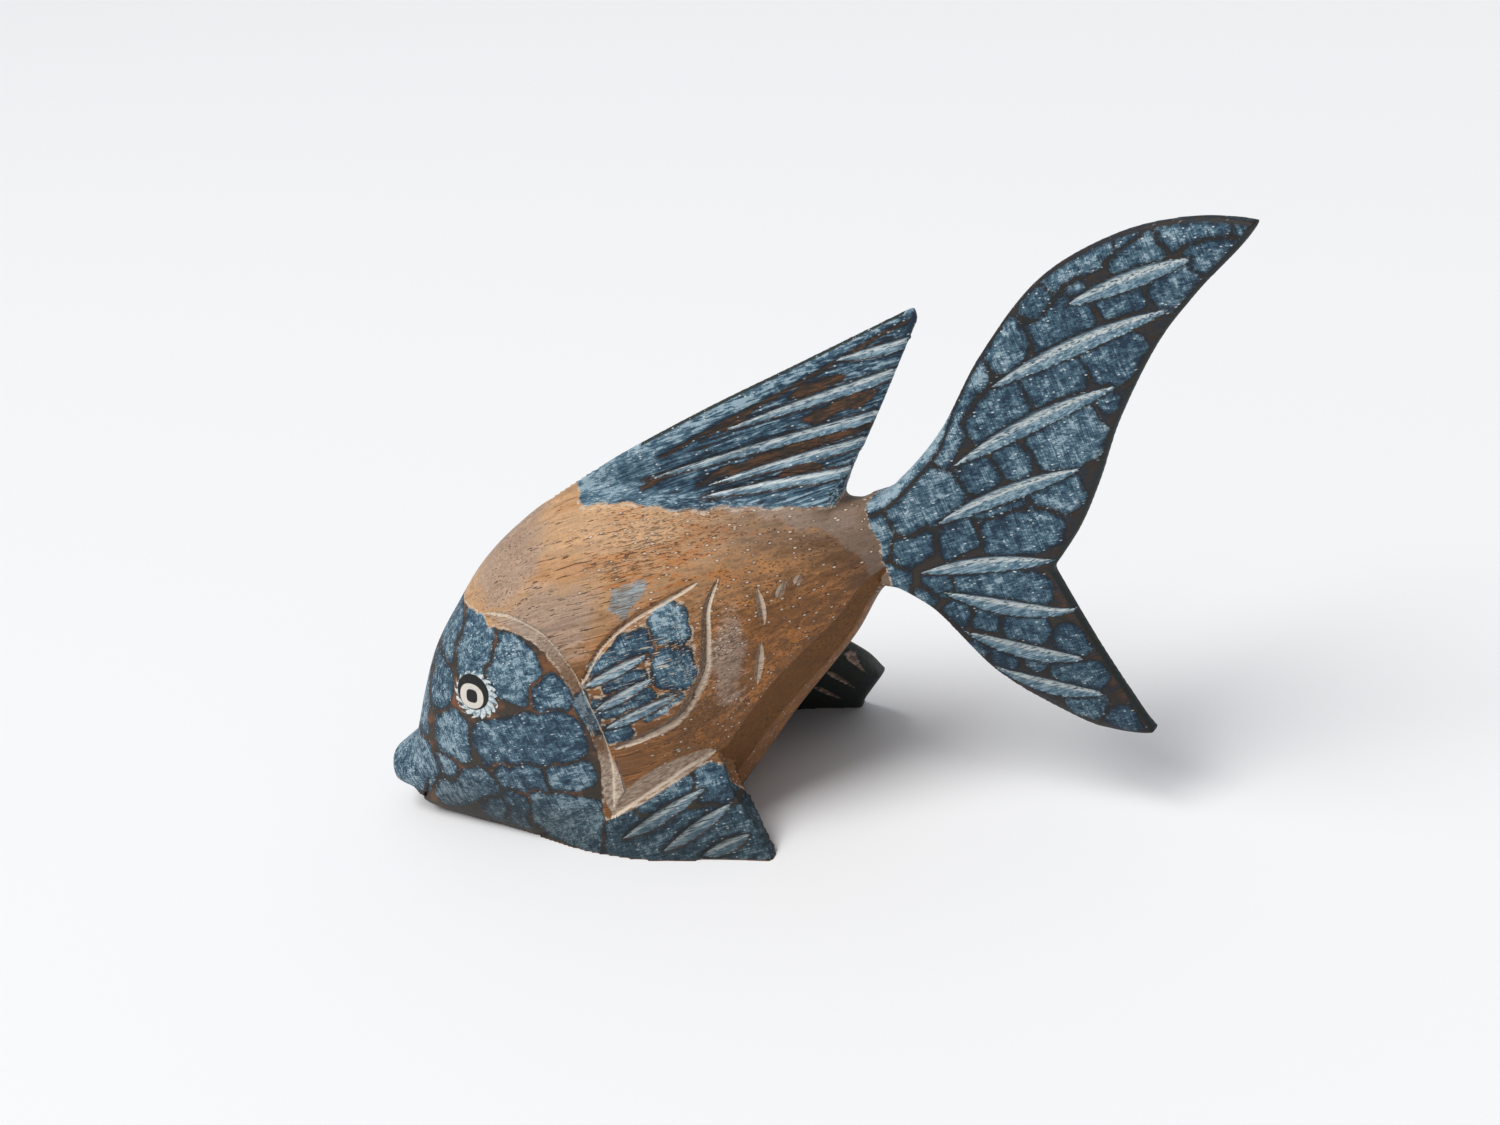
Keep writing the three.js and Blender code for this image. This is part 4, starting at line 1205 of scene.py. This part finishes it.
def paint(place, x, z, read, colours):
    """Dry-brushed blue patches with brown gaps, and pale rays: colour, and relief."""
    broad = noise(stretched(place, 3.0, 2.2), 3, 0.6, 0.4)
    blotch = noise(stretched(place, 1.5, 0.9, STROKE_TURN), 4, 0.65, 0.6)
    grain = noise(stretched(place, 0.62, 0.5), 5, 0.75)
    level = noise(stretched(place, 3.2, 0.19, STROKE_TURN), 3, 0.65)
    steep = noise(stretched(place, 0.17, 2.6, STROKE_TURN, 0.4), 3, 0.65)
    streak = noise(stretched(place, 10, 0.34, STROKE_TURN), 4, 0.6, 0.15)
    fin = rise(read("fin"), -0.5, 0.6)
    ray = read("ray")
    band = read("band")
    patch = read("patch") + (grain - 0.5) * 0.6
    worn_fin = fin * rise(x, -2, 12)
    patch = patch.maths("MINIMUM", mix_value(worn_fin, 9, (streak - 0.37) * 26))
    patch = patch.maths("MINIMUM", ray * -1 - 0.15).maths("MINIMUM", read("border") - 0.7)
    seam = band * -1 + rise(x, 9, 1) * 4 - 0.55
    patch = patch.maths("MINIMUM", seam).maths("MAXIMUM", band)
    front = rise(x, -4, 16)
    snout = rise(x, -34, -42)
    mottle = (blotch - 0.5) * (0.95 - fin * 0.5) + (broad - 0.5) * 0.75 + (grain - 0.5) * 0.45
    mottle = mottle + (level - 0.5) * 0.85 + (steep - 0.5) * (snout * 0.9 + 0.75 - fin * 0.6)
    mottle = mottle + fin * (streak - 0.5) * (front * 1.5 + 0.4) + read("tint") * 0.08
    mottle = mottle + rise(patch, 0.1, 1.1) * 0.1 + fin * (1 - front) * 0.1 - 0.08
    mottle = mottle + rise(band, 0.1, 0.7) * front * 0.14 - rise(x, 44, 60) * 0.03
    blue = mix(rise(mottle, -0.22, 0.0), colours.navy, colours.denim)
    blue = mix(rise(mottle, 0.02, 0.23) * 0.92, blue, colours.sky)
    rusty = rise(noise(stretched(place, 4, 3), 3, 0.6), 0.47, 0.64) * rise(x, 44, 30)
    rusty = mix_value(fin, rusty, rise(streak + (level - 0.5) * 0.5, 0.42, 0.62) * 0.8)
    low_rim = rise(read("border"), 2.0, 1.0) * rise(z, 44, 40) * rise(level, 0.35, 0.55)
    rusty = rusty.maths("MAXIMUM", low_rim * 0.5)
    gap = mix(rusty, colours.umber, colours.rust)
    gap = mix(rise(blotch, 0.42, 0.6) * rise(x, 44, 60) * 0.6, gap, colours.navy)
    gap = dyed(gap, level * 0.9 + grain * 0.5 + 0.25 - fin * 0.25 - rise(x, 40, 60) * 0.22)
    colour = mix(rise(patch, -0.12, 0.12), gap, blue)
    outline = rise((patch - 0.05).maths("ABSOLUTE"), 0.45, 0.05)
    colour = dyed(colour, 1 - outline * 0.45)
    # A dark rim along the tail's rear edge and the back fin's crest: dark paint, and on the tail's rear bevel
    # also painted shade where it turns from the light.
    rim = mix(rise(grain, 0.45, 0.75), colours.moss, colours.navy)
    colour = mix(rise(read("border"), 0.6, 0.35), colour, rim)
    # Painted shade: navy on the back fin's rear tip, where its rear edge face turns from the light.
    fin_tip_shade = fin * rise(x + z * -0.607, 2.9, 3.4) * rise(z, 80.5, 82)
    colour = mix(fin_tip_shade, colour, colours.navy)
    across = read("cut")
    # A white line along each ray's ridge, partly dry-brushed white and partly a painted highlight.
    ridge = rise(across, -0.5, -0.2) * rise(across, 0.42, 0.2) * rise(level, 0.38, 0.56)
    floor = level * 0.9 + blotch * 0.7 + rise(across, 1.0, 0.2) * 0.1
    pale = mix(rise(floor, 0.72, 1.05), colours.denim, colours.sky)
    # Painted shadow: navy on the upper part of a ray's steep upper wall.
    pale = mix(rise(across, -0.5, -0.75) * 0.75, pale, colours.navy)
    pale = mix(ridge, pale, colours.white)
    struck = rise(ray + (grain - 0.5) * 0.9 + (level - 0.5) * 0.7, -0.02, 0.14)
    colour = mix(struck, colour, pale)
    # Painted glints: pale dots where pores catch the light through the paint, mixed with white flecks from the
    # dry brush, which are the paint's own.
    lit = dots(stretched(place, 1.5, 0.6, GRAIN_TURN), 0.22, 0.5) * rise(broad, 0.36, 0.5)
    flecks = dots(stretched(place, 0.5, 0.34, STROKE_TURN), 0.28, 0.45) * rise(mottle, -0.02, 0.14)
    glints_and_flecks = lit.maths("MAXIMUM", flecks * 0.8) * rise(patch.maths("MAXIMUM", ray), -0.5, 0.3)
    colour = mix(glints_and_flecks * 0.85, colour, colours.white)
    # Painted shade: the paint darker and mossier towards the ground, on the throat and the belly fins.
    shaded = rise(z + rise(x, -44, -50) * 10 + (broad - 0.5) * 8, 1, 18)
    colour = mix((1 - shaded) * 0.25, dyed(colour, shaded * 0.52 + 0.48), colours.moss)
    # Painted shade: the tail's lower lobe a little darker.
    colour = dyed(colour, 1 - rise(x, 44, 60) * rise(z, 44, 26) * 0.24)
    height = (grain - 0.5) * 0.1 + glints_and_flecks * 0.06 + (level - 0.5) * 0.06 + rise(patch, -0.2, 0.2) * 0.06
    return colour, height


def eye(colour, x, z, place, colours):
    """The eye on both flanks: lashes round a black disc set high, a white ring, and a pupil."""
    dz = z - 28.1
    dx = x + 32.0 - dz * 0.2

    def disc(right, up, wide, tall, power=2.0):
        across = ((dx - right) * (1 / wide)).maths("ABSOLUTE").maths("POWER", power)
        high = ((dz - up) * (1 / tall)).maths("ABSOLUTE").maths("POWER", power)
        return across + high

    turn = dz.node("ShaderNodeMath", {"operation": "ARCTAN2"}, {0: dz - 0.1, 1: dx * 0.8 - 0.8})
    frayed = noise(stretched(place, 0.5, 0.5), 3, 0.6)
    ring = disc(1.05, 0.2, 4.7, 4.0)
    strokes = (turn * 17.0 + ring * 7.0 + frayed * 8.0).maths("SINE")
    lashes = rise(ring - strokes * 0.18 - (frayed - 0.5) * 0.7, 1.0, 0.9)
    pale = mix(rise(frayed, 0.35, 0.6), colours.sky, colours.white)
    combed = rise(strokes + rise(ring, 0.95, 0.6) * 0.6, -0.9, 0.4)
    colour = mix(lashes, colour, mix(combed, colours.denim, pale))
    colour = mix(rise(disc(0.35, 0.7, 3.6, 3.1), 1.06, 0.96), colour, colours.black)
    colour = mix(rise(disc(0.05, -0.05, 2.65, 2.15, 2.2), 1.06, 0.96), colour, colours.bone)
    return mix(rise(disc(0.1, 0.0, 1.25, 1.15, 3.0), 1.12, 0.9), colour, colours.black)


def painted_wood(picked):
    """The koi's one finish: waxed wood, worn cuts, dry-brushed paint and the eyes."""
    material = bpy.data.materials.new("painted_wood")
    material.use_nodes = True
    tree = material.node_tree
    surface = tree.nodes["Principled BSDF"]
    start = Shade(tree)
    place = start.node("ShaderNodeTexCoord", {}, {}, 3)

    def read(name, out=2):
        return start.node("ShaderNodeAttribute", {"attribute_name": name}, {}, out)

    straight = read("straight", 1)
    x, z = (start.node("ShaderNodeSeparateXYZ", {}, {0: straight}, out) for out in (0, 2))
    bare, bare_height = wood(place, straight, x, z, read, picked)
    grit = noise(stretched(place, 1.6, 0.3, GRAIN_TURN), 3, 0.6)
    bare = washed(bare, grit, read, picked)
    painted, painted_height = paint(place, x, z, read, picked)
    edge = noise(stretched(place, 1.2, 0.5, GRAIN_TURN), 3, 0.6)
    zone = read("zone") + (edge - 0.5) * 0.9
    cover = rise(zone, -0.08, 0.08) * rise(z, 0.05, 0.25)
    colour = mix(cover, bare, painted)
    chipped = rise(zone.maths("ABSOLUTE"), 0.3, 0.12) * rise(edge, 0.46, 0.58)
    colour = mix(chipped * 0.55, colour, picked.pale_wood_and_glint)
    # Painted shade on the dark walls of cuts and pale lips, partly painted highlights, laid over the paint as
    # well as the wood.
    colour = lipped(colour, grit, read, picked)
    scratch = rise(noise(stretched(place, 2.6, 0.17, GRAIN_TURN), 1, 0.5), 0.61, 0.67)
    scratch = scratch * blob(straight, (8, 34), (11, 9), 0.2)
    colour = mix(scratch * 0.7, colour, picked.pale_wood_and_glint)
    colour = eye(colour, x, z, place, picked)
    # Inner faces of the belly fins, dark moss and navy with pale wedges of rays: partly their own dark paint,
    # partly painted shade since they turn from the light.
    inside = mix(rise(edge, 0.5, 0.75), picked.moss, picked.navy)
    wedge = rise(read("ray") + (edge - 0.5) * 0.4, -0.05, 0.2)
    inside = mix(wedge, inside, mix(rise(edge, 0.25, 0.7), picked.umber, picked.grey))
    colour = mix(read("inner") * rise(z, 0.05, 0.25), colour, dyed(inside, edge * 0.8 + 0.6))
    crisp = read("deep") * (1 - read("cut").maths("ABSOLUTE").maths("MINIMUM", 1.0).maths(
        "POWER", rise(read("ray"), -0.4, 0.1) * 0.5 + 1))
    height = bare_height + (painted_height - bare_height) * cover + read("own") - crisp
    bump = start.node("ShaderNodeBump", {}, {"Strength": 1.0, "Distance": MM, "Height": height})
    rough = 0.5 + (edge - 0.5) * 0.2 + cover * 0.06
    tree.links.new(colour.socket, surface.inputs["Base Color"])
    tree.links.new(rough.socket, surface.inputs["Roughness"])
    tree.links.new(bump.socket, surface.inputs["Normal"])
    surface.inputs["Specular IOR Level"].default_value = 0.28
    return material


# Making the koi


def bent(points, radius):
    """Points of the straight fish on the bent one: the spine is an arc that starts along x."""
    turn = (points[:, 0] - BEND_START) / radius
    out = radius + points[:, 1]
    along = BEND_START - SOLE_MIDDLE + out * np.sin(turn)
    return np.stack([along, out * np.cos(turn) - radius, points[:, 2]], -1)


def quad_mesh(name, points, quads, fields):
    """A mesh of quads with a float or vector attribute for each field."""
    mesh = bpy.data.meshes.new(name)
    mesh.vertices.add(len(points))
    mesh.vertices.foreach_set("co", points.astype(np.float32).ravel())
    mesh.loops.add(quads.size)
    mesh.loops.foreach_set("vertex_index", quads.astype(np.int32).ravel())
    mesh.polygons.add(len(quads))
    mesh.polygons.foreach_set("loop_start", np.arange(0, quads.size, 4, dtype=np.int32))
    for field, values in fields.items():
        vector = values.ndim == 2
        kind, key = ("FLOAT_VECTOR", "vector") if vector else ("FLOAT", "value")
        attribute = mesh.attributes.new(field, kind, "POINT")
        attribute.data.foreach_set(key, values.astype(np.float32).ravel())
    mesh.update(calc_edges=True)
    mesh.validate()
    mesh.shade_smooth()
    return mesh


def facing(place, target, roll):
    """Matrix that puts an object at a place, its -z axis on the target, turned about it by roll."""
    back_axis = (place - target) / np.linalg.norm(place - target)
    level = np.cross((0, 0, 1), back_axis)
    level /= np.linalg.norm(level)
    upright = np.cross(back_axis, level)
    right = level * math.cos(roll) + upright * math.sin(roll)
    up = upright * math.cos(roll) - level * math.sin(roll)
    matrix = np.eye(4)
    matrix[:3] = np.stack([right, up, back_axis, place], -1)
    return Matrix(matrix.tolist())


class KOI_OT_carve(bpy.types.Operator):
    """Carve and paint the koi, in the place of its plain solid"""

    bl_idname = "koi.carve"
    bl_label = "Carve the koi"

    def execute(self, context):
        sizes = context.scene.koi_sizes
        step = sizes.mesh_step / MM
        skins = [body_skin(), tail_skin(), fin_skin(), foot_skin(LEFT), foot_skin(RIGHT)]
        points, quads = one_skin(skins, step)
        points = relaxed(points, quads, 2, 0.4)
        points, chamfer = chamfered(points)
        points = faceted(points, skin_normals(points, quads), sizes.facet_depth / MM)
        normals = skin_normals(points, quads)
        points, fields = carve(points, normals, flank_cuts(sizes.cut_depth / MM), step)
        points[:, 2] = np.where(points[:, 2] < 0.2, 0, points[:, 2])
        fields.update(paint_fields(points, normals, fields["ray"]), chamfer=chamfer, straight=points)
        placed = bent(points, sizes.bend_radius / MM) * MM
        mesh = quad_mesh("koi_carving", placed, quads, fields)
        koi = bpy.data.objects.new("koi_carving", mesh)
        context.scene.collection.objects.link(koi)
        koi.data.materials.append(painted_wood(Picked(context.scene.koi_colours)))
        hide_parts("carved_koi")
        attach(koi, "root")
        print("koi quads", len(quads))
        return {"FINISHED"}


class Picked:
    """The chosen colours as opaque RGBA values, by name."""

    def __init__(self, colours):
        for name in KoiColours.__annotations__:
            setattr(self, name, (*getattr(colours, name), 1.0))


class KOI_OT_stage(bpy.types.Operator):
    """Set the pale floor, the soft lights and the camera"""

    bl_idname = "koi.stage"
    bl_label = "Set the stage"

    def execute(self, context):
        scene = context.scene
        reach = FLOOR_REACH
        mesh = bpy.data.meshes.new("floor")
        corners = [(-reach, -reach, 0), (reach, -reach, 0), (reach, reach, 0), (-reach, reach, 0)]
        mesh.from_pydata(corners, [], [(0, 1, 2, 3)])
        floor = bpy.data.objects.new("floor", mesh)
        scene.collection.objects.link(floor)
        material = bpy.data.materials.new("floor")
        material.use_nodes = True
        surface = material.node_tree.nodes["Principled BSDF"]
        surface.inputs["Base Color"].default_value = FLOOR_COLOUR
        surface.inputs["Roughness"].default_value = FLOOR_ROUGHNESS
        floor.data.materials.append(material)
        world = bpy.data.worlds.new("world")
        world.use_nodes = True
        sky = world.node_tree.nodes["Background"]
        sky.inputs["Color"].default_value = SKY_COLOUR
        sky.inputs["Strength"].default_value = SKY_STRENGTH
        scene.world = world
        light = bpy.data.lights.new("key", "AREA")
        light.size = KEY_SIZE
        light.energy = KEY_POWER
        lamp = bpy.data.objects.new("key", light)
        lamp.matrix_world = facing(np.array(KEY_PLACE), np.zeros(3), 0)
        scene.collection.objects.link(lamp)
        lens = bpy.data.cameras.new("camera")
        lens.lens = CAMERA_LENS
        lens.sensor_width = CAMERA_SENSOR
        lens.clip_start = CAMERA_CLIP
        camera = bpy.data.objects.new("camera", lens)
        round_about, above = CAMERA_AZIMUTH, CAMERA_ELEVATION
        away = np.array([
            math.sin(round_about) * math.cos(above), -math.cos(round_about) * math.cos(above),
            math.sin(above),
        ])
        target = np.array(CAMERA_TARGET) * MM
        camera.matrix_world = facing(target + away * CAMERA_DISTANCE * MM, target, CAMERA_ROLL)
        scene.collection.objects.link(camera)
        scene.camera = camera
        scene.view_settings.view_transform = "Standard"
        return {"FINISHED"}


class KOI_PT_tools(bpy.types.Panel):
    """Tools that make the koi and its stage"""

    bl_idname = "KOI_PT_tools"
    bl_label = "Carved koi"
    bl_space_type = "VIEW_3D"
    bl_region_type = "UI"
    bl_category = "Koi"

    def draw(self, context):
        for operator in (KOI_OT_carve, KOI_OT_stage):
            self.layout.operator(operator.bl_idname)


CLASSES = (KoiSizes, KoiColours, KOI_OT_carve, KOI_OT_stage, KOI_PT_tools)


def register():
    for cls in CLASSES:
        bpy.utils.register_class(cls)
    bpy.types.Scene.koi_sizes = bpy.props.PointerProperty(type=KoiSizes)
    bpy.types.Scene.koi_colours = bpy.props.PointerProperty(type=KoiColours)


def unregister():
    del bpy.types.Scene.koi_sizes, bpy.types.Scene.koi_colours
    for cls in reversed(CLASSES):
        bpy.utils.unregister_class(cls)


def main():
    """Registers the tools, and makes the koi and its stage."""
    register()
    bpy.ops.koi.carve()
    bpy.ops.koi.stage()


if __name__ == "__main__":
    main()
